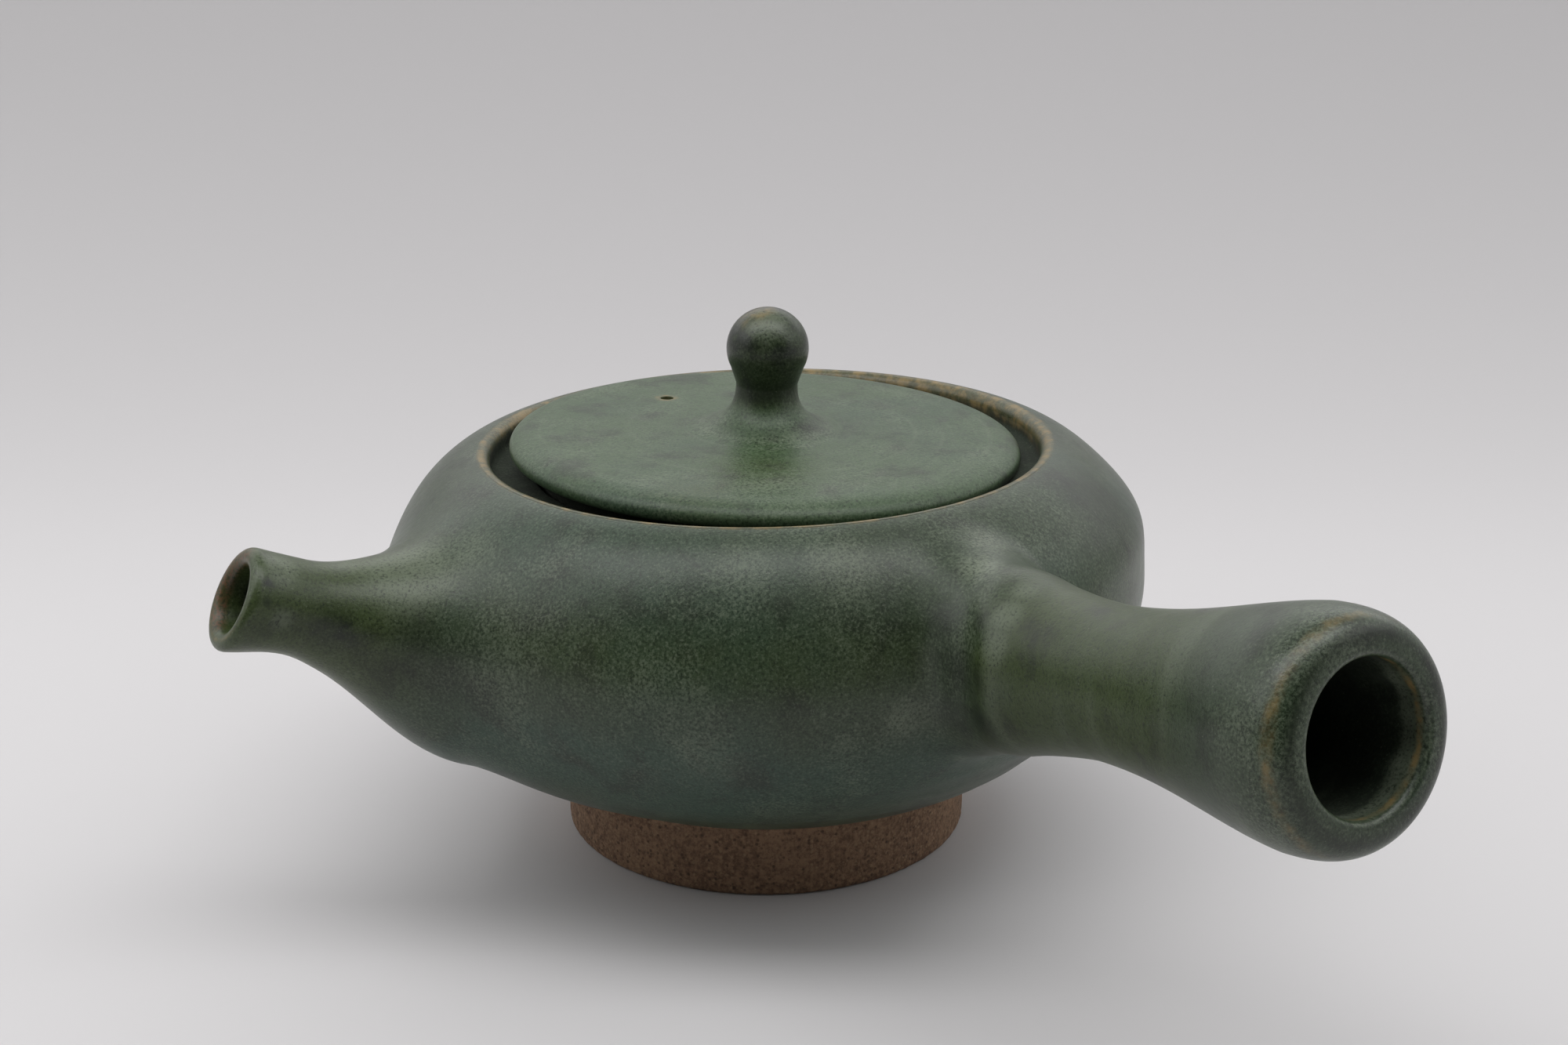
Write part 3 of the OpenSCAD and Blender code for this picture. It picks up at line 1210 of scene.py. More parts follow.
@dataclass(frozen=True)
class Spout(Limb):
    """Short spout that tapers from a broad root to a leaning mouth."""

    reach: float = 95.8
    along: Reach = Reach(8.0, 5.0, 2.6)
    over: Reach = Reach(9.0, 9.0, 21.0, 1.5)
    pull_low: float = 1.36
    root_r: float = 17.64
    neck_r: float = 6.75
    taper_from: float = 53.5
    taper_to: float = 86.3
    flare: float = 0.2
    sag: float = 0.8
    sag_to: float = 90.0
    sag_fade: float = 10.0
    drip: float = 1.6
    mouth_lean: float = 5.0
    mouth_turn: float = 5.0
    mouth_long: float = 16.0
    lip: float = 2.8
    lip_long: float = 8.0
    lip_inner: float = 0.9
    neck_wall: float = 3.3
    port_r: float = 11.2
    port_tuck: float = 0.6
    neck_rows: int = 40
    lip_rows: int = 10
    bore_rows: int = 30

    @property
    def leaning(self) -> tuple[float, float]:
        """How much the mouth leans back on top and on its far side, for each millimetre off the axis."""
        return math.tan(math.radians(self.mouth_lean)), math.tan(math.radians(self.mouth_turn))

    @property
    def mouth(self) -> Array:
        """Middle of the mouth."""
        return self.axis.at(self.reach)

    @property
    def facing(self) -> Point:
        """The way that the mouth faces."""
        lean, yaw = self.leaning
        way = self.axis.way + self.axis.up * lean + np.cross(self.axis.way, self.axis.up) * yaw
        return tuple(way / np.linalg.norm(way))

    def outer(self, s: Array, turn: Array) -> Array:
        """The outside, a little fuller below.

        Args:
            s: Distances along the axis.
            turn: Angles round it.

        Returns:
            Its radius at each place.
        """
        neck = np.clip((s - self.taper_to) / (self.reach - self.taper_to), 0, 2) ** 2
        taper = ease((s - self.taper_from) / (self.taper_to - self.taper_from))
        sag = self.sag * below(turn) ** 2 * ease((self.sag_to - s) / self.sag_fade)
        return self.root_r + (self.neck_r - self.root_r) * taper + self.flare * neck + sag

    def inner(self, s: Array, turn: Array) -> Array:
        """Radius of the bore at a distance along the axis, opening towards the lip."""
        wall = self.lip + (self.neck_wall - self.lip) * ease((self.reach - s) / self.lip_long)
        return np.minimum(self.port_r, self.outer(s, turn) - wall)

    def build(self, material: bpy.types.Material) -> bpy.types.Object:
        """Makes the spout.

        Args:
            material: Its finish.

        Returns:
            The spout.
        """
        turn = self.turns
        rows, leave = self.root(turn)
        lip_r = self.lip / 2
        tip = self.reach - lip_r
        lean, yaw = self.leaning
        back = np.cos(turn) * lean + np.sin(turn) * yaw

        def row(s: Array, r: Array) -> None:
            """Adds a row, leaning more and dipping more below the nearer it is to the mouth.

            Args:
                s: Distances along the axis.
                r: Distances off it.
            """
            near = ease((s - self.reach + self.mouth_long) / self.mouth_long)
            r = r + self.drip * below(turn) ** 2 * near**2
            rows.append(self.axis.point(s - r * back * near, r, turn))

        for k in np.linspace(0, 1, self.neck_rows + 1)[1:]:
            s = leave + (tip - leave) * k
            row(s, self.outer(s, turn))
        tip_s = np.full_like(turn, tip)
        middle = self.outer(tip_s, turn) - lip_r
        for a in np.radians(np.linspace(90, -90, self.lip_rows + 1))[1:]:
            row(tip_s + lip_r * math.cos(a), middle + lip_r * math.sin(a))
        port = self.meets(lambda s, _: np.full_like(s, self.port_r), turn, self.reach - self.end_clear)
        deep = port - self.port_tuck
        for k in np.linspace(0, 1, self.bore_rows + 1)[1:]:
            s = tip + (deep - tip) * k
            row(s, np.minimum(self.inner(s, turn), middle - lip_r * self.lip_inner + (tip - s)))
        rows.append(rows[0])
        piece = Bench.wrap("spout", np.array(rows))
        Bench.reshape(piece, self.form.settle)
        return Bench.dress(piece, material, Body.POT, Slot.GLAZE, ["spout"])


@dataclass(frozen=True)
class Handle(Limb):
    """Hollow side handle: flared root, narrow waist, swollen open end with lumps of glaze inside its hole."""

    reach: float = 132.4
    along: Reach = Reach(7.0, 3.0, -2.0)
    over: Reach = Reach(7.0, -3.5, -2.0)
    root_r: float = 14.4
    root_at: float = 61.0
    waist_r: float = 10.4
    waist_at: float = 88.0
    end_r: float = 15.25
    end_long: float = 8.0
    end_deep: float = 4.5
    end_full: float = 2.8
    hole_r: float = 9.6
    hole_round: float = 1.0
    wall: float = 3.8
    wall_tuck: float = 0.4
    swell: float = 1.31
    spread: float = 1.4
    top_flare: float = 0.7
    side_slim: float = 1.0
    seam_at: float = 64.5
    seam_sweep: float = 3.5
    seam_wobble: float = 0.5
    seam_wide: float = 3.0
    seam_deep: float = 0.6
    seam_high: float = 0.5
    ridge_after: float = 4.6
    seam_shares: tuple[float, float, float] = (0.4, 0.5, 0.1)
    lumps: tuple[tuple[float, float, float], ...] = ((-52, 11, 0.7), (-84, 8, 0.45), (-128, 16, 0.9))
    lump_long: float = 11.0
    lump_fade: float = 5.0
    lump_rise: float = 2.5
    grip_rows: int = 60
    end_rows: int = 24
    round_rows: int = 6
    hollow_rows: int = 40

    @property
    def lip_at(self) -> float:
        """Where the end starts to round over."""
        return self.reach - self.end_long

    def share(self, s: Array, turn: Array) -> tuple[Array, Array]:
        """How much of the swollen end and of the root a place has.

        Args:
            s: Distances along the axis.
            turn: Angles round it.

        Returns:
            The share of the end, and that of the root, which flares most below and not at the sides.
        """
        end = np.clip((s - self.waist_at) / (self.lip_at - self.waist_at), 0, 1) ** self.swell
        end = (end + ease(end)) / 2
        root = np.clip((self.waist_at - s) / (self.waist_at - self.root_at), 0, 1) ** self.spread
        flare = self.top_flare + (1 - self.top_flare) * below(turn)
        return end, root * flare * (1 - self.side_slim * np.sin(turn) ** 2)

    def outer(self, s: Array, turn: Array) -> Array:
        """Outer radius at a distance along the axis and an angle round it."""
        end, root = self.share(s, turn)
        return self.waist_r + (self.end_r - self.waist_r) * end + (self.root_r - self.waist_r) * root

    def inner(self, s: Array, turn: Array) -> Array:
        """The hollow.

        Args:
            s: Distances along the axis.
            turn: Angles round it.

        Returns:
            Its radius at each place.
        """
        end, root = self.share(s, turn)
        thin = self.waist_r - self.wall
        return thin + (self.hole_r - thin) * end + (self.root_r - self.waist_r) * root

    def luted(self, p: Array, turn: Array) -> Array:
        """Leaves the seam where the handle was joined: a groove, then a ridge, both strongest at the sides.

        Args:
            p: One row of points of the outside.
            turn: Angles round the axis.

        Returns:
            The row with its part of the seam.
        """
        off = p - self.axis.start
        s = off @ self.axis.way
        out = off - s[..., None] * self.axis.way
        out /= np.linalg.norm(out, axis=-1, keepdims=True)
        side = np.sin(turn) ** 2
        past = s - self.seam_at - self.seam_sweep * side + self.seam_wobble * np.sin(3 * turn + 1)
        groove = self.seam_deep * np.exp(-((past / self.seam_wide) ** 2))
        ridge = self.seam_high * np.exp(-(((past - self.ridge_after) / self.seam_wide) ** 2))
        everywhere, at_sides, aslant = self.seam_shares
        strength = everywhere + at_sides * side + aslant * np.sin(2 * turn)
        return p + out * ((ridge - groove) * strength)[..., None]

    def build(self, material: bpy.types.Material) -> bpy.types.Object:
        """Makes the handle.

        Args:
            material: Its finish.

        Returns:
            The handle.
        """
        turn = self.turns
        rows, leave = self.root(turn)

        def row(s: Array, r: Array) -> None:
            """Adds a row a distance along and off the axis."""
            rows.append(self.axis.point(s, r, turn))

        for k in np.linspace(0, 1, self.grip_rows + 1)[1:]:
            s = leave + (self.lip_at - leave) * k
            row(s, self.outer(s, turn))
        tucked = len(self.tucks)
        rows[tucked:] = [self.luted(p, turn) for p in rows[tucked:]]
        full = np.ones_like(turn)
        middle, power = self.end_r - self.end_deep, 2 / self.end_full
        for a in np.radians(np.linspace(0, 90, self.end_rows + 1))[1:]:
            out, off = math.sin(a) ** power, max(math.cos(a), 0) ** power
            row(full * (self.lip_at + self.end_long * out), full * (middle + self.end_deep * off))
        turn_in, rim = self.hole_r + self.hole_round, self.reach - self.hole_round
        for a in np.radians(np.linspace(90, 180, self.round_rows + 1)):
            s, r = rim + self.hole_round * math.sin(a), turn_in + self.hole_round * math.cos(a)
            row(full * s, full * r)
        around = (np.degrees(turn) + 180) % 360 - 180
        lump = sum(high * np.exp(-(((around - at) / wide) ** 2)) for at, wide, high in self.lumps)
        hollow_r = self.root_r - self.wall
        deep = self.meets(lambda s, _: np.full_like(s, hollow_r), turn, self.waist_at) + self.wall_tuck
        for k in np.linspace(0, 1, self.hollow_rows + 1)[1:]:
            s = rim + (deep - rim) * k
            inwards = ease((s - self.reach + self.lump_long) / self.lump_fade)
            row(s, self.inner(s, turn) - lump * inwards * ease((self.reach - s) / self.lump_rise))
        rows.append(rows[0])
        piece = Bench.wrap("handle", np.array(rows))
        Bench.reshape(piece, self.form.settle)
        return Bench.dress(piece, material, Body.POT, Slot.GLAZE, ["handle"])


@dataclass(frozen=True)
class PotBody:
    """The thrown body with its rim, the lid's ledge and the port behind the spout."""

    form: PotForm
    spout: Spout
    wall: float = 4.2
    foot_h: float = 12.5
    floor_z: float = 17.5
    ledge_z: float = 60.2
    ledge_t: float = 3.2
    throat_r: float = 36.4
    edge: float = 0.8
    corner: float = 2.2
    crest_from: float = 80.0
    clear_floor: float = 1.2
    clear_ledge: float = 0.6
    under_ledge: float = 0.8
    ridge: float = 0.09
    ridge_gap: float = 2.1
    ridge_climb: float = 0.35
    ridges_from: float = 15.0
    ridges_rise: float = 4.0
    ridges_to: float = 33.0
    ridges_fade: float = 8.0
    ridges_left: float = 0.35
    skin_depth: float = 0.6
    drill_from: float = 40.0
    drill_long: float = 45.0
    belly_steps: int = 72
    shoulder_steps: int = 60

    def skin(self) -> Array:
        """Outside of the body from the top of its foot to the crest of its rim.

        Returns:
            Radius and height of each point.
        """
        f = self.form
        a = np.radians(np.linspace(90, 0, self.belly_steps + 1))[1:]
        low_r = f.base_r + (f.body_r - f.base_r) * np.cos(a) ** (2 / f.belly_full)
        low_z = f.belly_z + (f.base_z - f.belly_z) * np.sin(a) ** (2 / f.belly_full)
        top = math.acos((f.rim_round / (f.body_r - f.mouth_r)) ** (f.shoulder_full / 2))
        b = np.linspace(0, top, self.shoulder_steps + 1)[1:]
        high_z = f.belly_z + (f.rim_z - f.belly_z) * np.sin(b) ** (2 / f.shoulder_full)
        high_r = f.mouth_r + (f.body_r - f.mouth_r) * np.cos(b) ** (2 / f.shoulder_full)
        r, z = np.concatenate([low_r, high_r]), np.concatenate([low_z, high_z])
        return np.column_stack([r + f.soft_radius(z) - f.true_radius(z), z])

    def outline(self) -> Outline:
        """The body's outline.

        Returns:
            Its points, from under its floor round the rim to inside its floor.
        """
        f, e, c = self.form, self.edge, self.corner
        skin = self.skin()
        along = np.gradient(skin, axis=0)
        along /= np.linalg.norm(along, axis=1, keepdims=True)
        inner = skin + self.wall * np.column_stack([-along[:, 1], along[:, 0]])
        under, floor = self.ledge_z - self.ledge_t, self.floor_z
        keep = (inner[:, 1] > floor + self.clear_floor) & (inner[:, 1] < under - self.clear_ledge)
        inner = inner[keep][::-2]
        corner_r = inner[-1][0] - c
        roll = f.base_z - self.foot_h
        rolled = f.mouth_r + f.rim_round, skin[-1][1] - f.rim_round
        return [
            (0.0, self.foot_h),
            *line((0, self.foot_h), (f.base_r - roll, self.foot_h), 6),
            *arc(f.base_r - roll, f.base_z, roll, -90, 0),
            *[tuple(p) for p in skin],
            *arc(*rolled, f.rim_round, self.crest_from, 180),
            *arc(f.mouth_r - e, self.ledge_z + e, e, 0, -90),
            *arc(self.throat_r + e, self.ledge_z - e, e, 90, 180),
            *arc(self.throat_r + e, under + e, e, 180, 270),
            (inner[0][0] - self.under_ledge, under),
            *[tuple(p) for p in inner],
            *arc(corner_r, floor + c, c, -20, -90, 5),
            *line((corner_r, floor), (0, floor), 8),
            (0.0, floor),
        ]

    def handmade(self, p: Array) -> Array:
        """Leaves the small unevenness of hand throwing: a fuller side, and turning ridges low on the belly.

        Args:
            p: Points as turned true.

        Returns:
            Points as thrown.
        """
        f, z = self.form, p[:, 2]
        bearing = np.arctan2(p[:, 1], p[:, 0])
        r = np.hypot(p[:, 0], p[:, 1])
        soft = f.soft_radius(z)
        grow = (f.radius(z, bearing) - soft) * ease((r - soft + self.wall) / self.wall)
        low = ease((z - self.ridges_from) / self.ridges_rise) * ease((self.ridges_to - z) / self.ridges_fade)
        low = low * np.where(np.abs(r - soft) < self.skin_depth, 1, 0)
        side = self.ridges_left + (1 - self.ridges_left) * np.clip(p @ RIGHT / f.body_r, 0, 1)
        turns = (r - self.ridge_climb * z) / self.ridge_gap
        grow = grow + self.ridge * np.sin(2 * math.pi * turns) * low * side
        scale = np.where(r > 1, (r + grow) / np.maximum(r, 1), 1)
        return np.column_stack([p[:, 0] * scale, p[:, 1] * scale, z])

    def build(self, material: bpy.types.Material) -> bpy.types.Object:
        """Makes the body.

        Args:
            material: Its finish.

        Returns:
            The body.
        """
        piece = Bench.turn("pot_body", self.outline())
        Bench.reshape(piece, lambda p: self.form.settle(self.handmade(p)))
        axis = self.spout.axis
        Bench.drill(piece, axis.at(self.drill_from), axis.way, self.drill_long, self.spout.port_r)
        return Bench.dress(piece, material, Body.POT, Slot.GLAZE, ["pot_body"])


@dataclass(frozen=True)
class FootRing:
    """Turned foot of coarse bare clay."""

    radius: float = 32.6
    height: float = 12.5
    wall: float = 6.4
    bevel: float = 1.0
    tuck: float = 0.5
    grit: float = 0.09
    grit_size: float = 1.3
    grit_middle: float = 0.6
    sides: int = 300

    def build(self, material: bpy.types.Material) -> bpy.types.Object:
        """Makes the foot, whose top runs up into the body.

        Args:
            material: Its finish.

        Returns:
            The foot.
        """
        r, b, top = self.radius, self.bevel, self.height + self.tuck
        inside = r - self.wall
        outline = [
            *arc(inside + b, b, b, 180, 270, 5),
            *line((inside + b, 0), (r - b, 0), 6),
            *arc(r - b, b, b, -90, 0, 5),
            *line((r, b), (r, top), 30),
            (r, top),
            (inside, top),
            *line((inside, top), (inside, b), 16),
            (inside, b),
        ]
        piece = Bench.turn("foot_ring", outline, self.sides)
        rough = bpy.data.textures.new("grit", "CLOUDS")
        rough.noise_scale, rough.noise_depth = self.grit_size * MM, 3
        bpy.context.view_layer.objects.active = piece
        worn = piece.modifiers.new("grit", "DISPLACE")
        worn.texture, worn.texture_coords = rough, "LOCAL"
        worn.strength, worn.mid_level = self.grit * 2 * MM, self.grit_middle
        bpy.ops.object.modifier_apply(modifier=worn.name)
        Bench.reshape(piece, lambda p: np.column_stack([p[:, :2], np.maximum(p[:, 2], 0)]))
        return Bench.dress(piece, material, Body.POT, Slot.FOOT, ["foot_ring"])


@dataclass(frozen=True)
class Lid:
    """The lid: plate with a steam hole, locating ring and knob."""

    radius: float = 40.35
    under_z: float = 61.6
    edge_z: float = 65.35
    crown: float = 0.55
    edge_wide: float = 5.5
    edge_deep: float = 2.3
    edge_full: float = 2.4
    under_round: float = 1.2
    ring_r: float = 35.6
    ring_wall: float = 3.4
    ring_z: float = 54.2
    ring_edge: float = 0.8
    ring_tuck: float = 1.6
    steam_d: float = 2.2
    steam_at: float = 23.4
    steam_bearing: float = 101.8
    tilt: float = 1.4
    tip: float = 0.6
    knob_r: float = 6.45
    neck_r: float = 4.85
    skirt_r: float = 13.5
    knob_h: float = 19.3
    neck_h: float = 7.4
    neck_spare: float = 14.0
    skirt_fall: float = 2.6
    skirt_rise: float = 1.35
    skirt_tuck: float = 0.12
    knob_tuck: float = 1.5
    knob_smooth: float = 70.0

    def top(self, r: float) -> float:
        """Height of the plate's upper face, which turns down softly at its edge.

        Args:
            r: Distance from its middle.

        Returns:
            The height there.
        """
        near = min(max(1 - (self.radius - r) / self.edge_wide, 0.0), 1.0)
        fall = self.edge_deep * (1 - math.sqrt(1 - near**self.edge_full))
        return self.edge_z + self.crown * (1 - (r / self.radius) ** 2) - fall

    @property
    def steam_hole(self) -> Point:
        """Middle of the steam hole at the plate's upper face."""
        a = math.radians(self.steam_bearing)
        return self.steam_at * math.cos(a), self.steam_at * math.sin(a), self.top(self.steam_at)

    def lie(self, p: Array) -> Array:
        """Tilts the lid as it lies in the mouth, lower to the right and at the back.

        Args:
            p: Points of the lid as turned.

        Returns:
            Points of the lid as it lies.
        """
        a = math.radians(self.tilt)
        across, z = p @ RIGHT, p[:, 2] - self.under_z
        turned = across * math.cos(a) + z * math.sin(a)
        up = z * math.cos(a) - across * math.sin(a) - self.tip * (p @ FORWARD) / self.radius
        moved = p + np.outer(turned - across, RIGHT)
        moved[:, 2] = self.under_z + up
        return moved

    def build_plate(self, material: bpy.types.Material) -> bpy.types.Object:
        """Makes the plate.

        Args:
            material: Its finish.

        Returns:
            The plate.
        """
        out = self.radius - self.edge_wide * (1 - np.sin(np.radians(np.linspace(90, 0, 25))))
        low, b = self.under_z, self.under_round
        outline = [
            (0.0, low),
            *line((0, low), (self.radius - b, low), 20),
            *arc(self.radius - b, low + b, b, -90, 0, 8),
            *[(r, self.top(r)) for r in [*out, *np.linspace(out[-1], 0, 60)[1:]]],
        ]
        piece = Bench.turn("lid_plate", outline)
        through = 20.0
        below_hole = np.array(self.steam_hole) - np.array(UPRIGHT) * through / 2
        Bench.drill(piece, below_hole, np.array(UPRIGHT), through, self.steam_d / 2)
        Bench.reshape(piece, self.lie)
        return Bench.dress(piece, material, Body.LID, Slot.LID, ["lid_plate"])

    def build_ring(self, material: bpy.types.Material) -> bpy.types.Object:
        """Makes the locating ring, which runs up into the plate.

        Args:
            material: Its finish.

        Returns:
            The ring.
        """
        r, b = self.ring_r, self.ring_edge
        inside, low, high = r - self.ring_wall, self.ring_z, self.under_z + self.ring_tuck
        outline = [
            *arc(inside + b, low + b, b, 180, 270, 5),
            *arc(r - b, low + b, b, -90, 0, 5),
            *line((r, low + b), (r, high), 8),
            (r, high),
            (inside, high),
            *line((inside, high), (inside, low + b), 8),
            (inside, low + b),
        ]
        piece = Bench.turn("lid_ring", outline, 200)
        return Bench.dress(piece, material, Body.RING, Slot.CLAY, ["lid_ring"])

    def build_knob(self, material: bpy.types.Material) -> bpy.types.Object:
        """Makes the knob with its skirt smoothed into the plate.

        Args:
            material: Its finish.

        Returns:
            The knob.
        """
        base, mid = self.top(self.skirt_r), self.top(0)
        skirt = []
        for u in np.linspace(0, 1, 25):
            r = self.neck_r + (self.skirt_r - self.neck_r) * (1 - u) ** self.skirt_fall
            rise = (mid + self.neck_h - base) * u**self.skirt_rise
            skirt.append((r, base - self.skirt_tuck + rise))
        start = self.neck_spare - math.degrees(math.acos(self.neck_r / self.knob_r))
        ball = arc(0, mid + self.knob_h - self.knob_r, self.knob_r, start, 90, 22)
        sunk = base - self.knob_tuck
        outline = [
            (0.0, sunk),
            (self.skirt_r - self.knob_tuck, sunk),
            *skirt,
            *line(skirt[-1], ball[0], 5),
            *ball[:-1],
            (0.0, mid + self.knob_h),
        ]
        piece = Bench.turn("lid_knob", outline, 160)
        Bench.reshape(piece, self.lie)
        return Bench.dress(piece, material, Body.LID, Slot.LID, ["lid_knob"], self.knob_smooth)


@dataclass(frozen=True)
class Panel:
    """A soft rectangular light, placed by its way to the right, away from the camera and up, in metres."""

    name: str
    power: float
    width: float
    height: float
    right: float
    away: float
    up: float
    faces: Point

    def build(self) -> None:
        """Hangs the light and turns it."""
        lamp = bpy.data.lights.new(self.name, "AREA")
        lamp.shape, lamp.size, lamp.size_y, lamp.energy = "RECTANGLE", self.width, self.height, self.power
        holder = bpy.data.objects.new(self.name, lamp)
        bpy.context.scene.collection.objects.link(holder)
        holder.location = RIGHT * self.right + FORWARD * self.away + np.array([0, 0, self.up])
        back = -(RIGHT * self.faces[0] + FORWARD * self.faces[1] + np.array([0, 0, self.faces[2]]))
        back /= np.linalg.norm(back)
        across = RIGHT if abs(back @ RIGHT) < 0.7 else FORWARD
        across = across - back * (across @ back)
        across /= np.linalg.norm(across)
        turn = np.column_stack([across, np.cross(back, across), back])
        holder.rotation_euler = mathutils.Matrix(turn.tolist()).to_euler()


@dataclass(frozen=True)
class Studio:
    """Pale seamless paper in a box of soft light that is open to the camera."""

    camera_at: Point = (-190.8, -301.9, 171.5)
    pitch: float = 18.81
    lens: float = 54.0
    paper: Tint = Tint(216, 214, 215)
    shade: Tint = Tint(191, 189, 190)
    near: float = -2.5
    far: float = 0.15
    bend: float = 0.25
    back_high: float = 0.25
    half_wide: float = 4.0
    shade_over: float = 420.0
    room: float = 0.07
    room_tone: tuple[float, float, float, float] = (0.98, 0.99, 1.0, 1.0)
    panels: tuple[Panel, ...] = (
        Panel("wide", 2.15, 1.6, 1.1, 0.0, -0.1, 0.72, (0, 0, -1)),
        Panel("strip", 1.7, 0.8, 0.25, 0.0, -0.1, 0.6, (0, 0, -1)),
        Panel("soft_left", 1.0, 0.5, 0.5, -0.5, -0.05, 0.5, (0.5, 0.05, -0.45)),
        Panel("soft_right", 0.7, 0.5, 0.5, 0.5, -0.05, 0.5, (-0.5, 0.05, -0.45)),
        Panel("left", 0.75, 0.8, 0.55, -0.7, 0.0, 0.3, (1, 0, 0)),
        Panel("right", 0.75, 0.8, 0.55, 0.7, 0.0, 0.3, (-1, 0, 0)),
        Panel("back", 1.85, 1.4, 0.45, 0.0, 0.38, 0.41, (0, -1, 0)),
    )

    def build_paper(self) -> None:
        """Lays the paper, bends it up behind the pot and paints it darker further back as shade."""
        step = 0.1
        floor = [(self.near + step * k, 0.0) for k in range(int((self.far - self.near) / step))]
        curve = [
            (self.far + self.bend * math.sin(a), self.bend * (1 - math.cos(a)))
            for a in np.radians(np.linspace(0, 90, 40))
        ]
        wall = [(self.far + self.bend, self.bend + self.back_high * k / 5) for k in range(1, 6)]
        left = RIGHT * -self.half_wide
        edge = [left + FORWARD * out + np.array(UPRIGHT) * up for out, up in [*floor, *curve, *wall]]
        paper = Bench.chain("paper", [p / MM for p in edge])
        bpy.ops.mesh.extrude_edges_move(TRANSFORM_OT_translate={"value": tuple(left * -2)})
        bpy.ops.mesh.select_all(action="SELECT")
        bpy.ops.mesh.normals_make_consistent(inside=False)
        bpy.ops.object.mode_set(mode="OBJECT")
        bpy.ops.object.shade_smooth()
        paint = Paint("paper")
        grain = paint.noise(Clouds(900.0, 1.0))
        away = paint.vector("DOT_PRODUCT", paint.place, tuple(FORWARD))
        # Painted shade: the paper darkens further back from the pot.
        colour = paint.blend(away.smooth(0.0, self.shade_over) + grain * 0.05, self.paper, self.shade)
        flat = paint.bump(grain, 0.01, 0.1)
        finish = paint.finish(colour, grain * 0.05 + 0.85, flat, Specular_IOR_Level=0.1)
        paper.data.materials.append(finish)

    def build_lights(self) -> None:
        """Hangs the panels in a dim room."""
        for panel in self.panels:
            panel.build()
        world = bpy.data.worlds.new("room")
        bpy.context.scene.world = world
        world.use_nodes = True
        sky = world.node_tree.nodes["Background"]
        sky.inputs["Color"].default_value = self.room_tone
        sky.inputs["Strength"].default_value = self.room

    def build_camera(self) -> None:
        """Sets the camera where the photograph was taken from."""
        lens = bpy.data.cameras.new("camera")
        lens.lens, lens.sensor_width, lens.sensor_fit = self.lens, 36.0, "HORIZONTAL"
        lens.clip_start, lens.clip_end = 0.01, 50.0
        camera = bpy.data.objects.new("camera", lens)
        bpy.context.scene.collection.objects.link(camera)
        camera.location = [c * MM for c in self.camera_at]
        camera.rotation_euler = (math.radians(90 - self.pitch), 0, HEADING - math.pi / 2)
        bpy.context.scene.camera = camera

    def build(self) -> None:
        """Sets up paper, lights, camera and plain view settings."""
        self.build_paper()
        self.build_lights()
        self.build_camera()
        bpy.context.scene.view_settings.view_transform = "Standard"


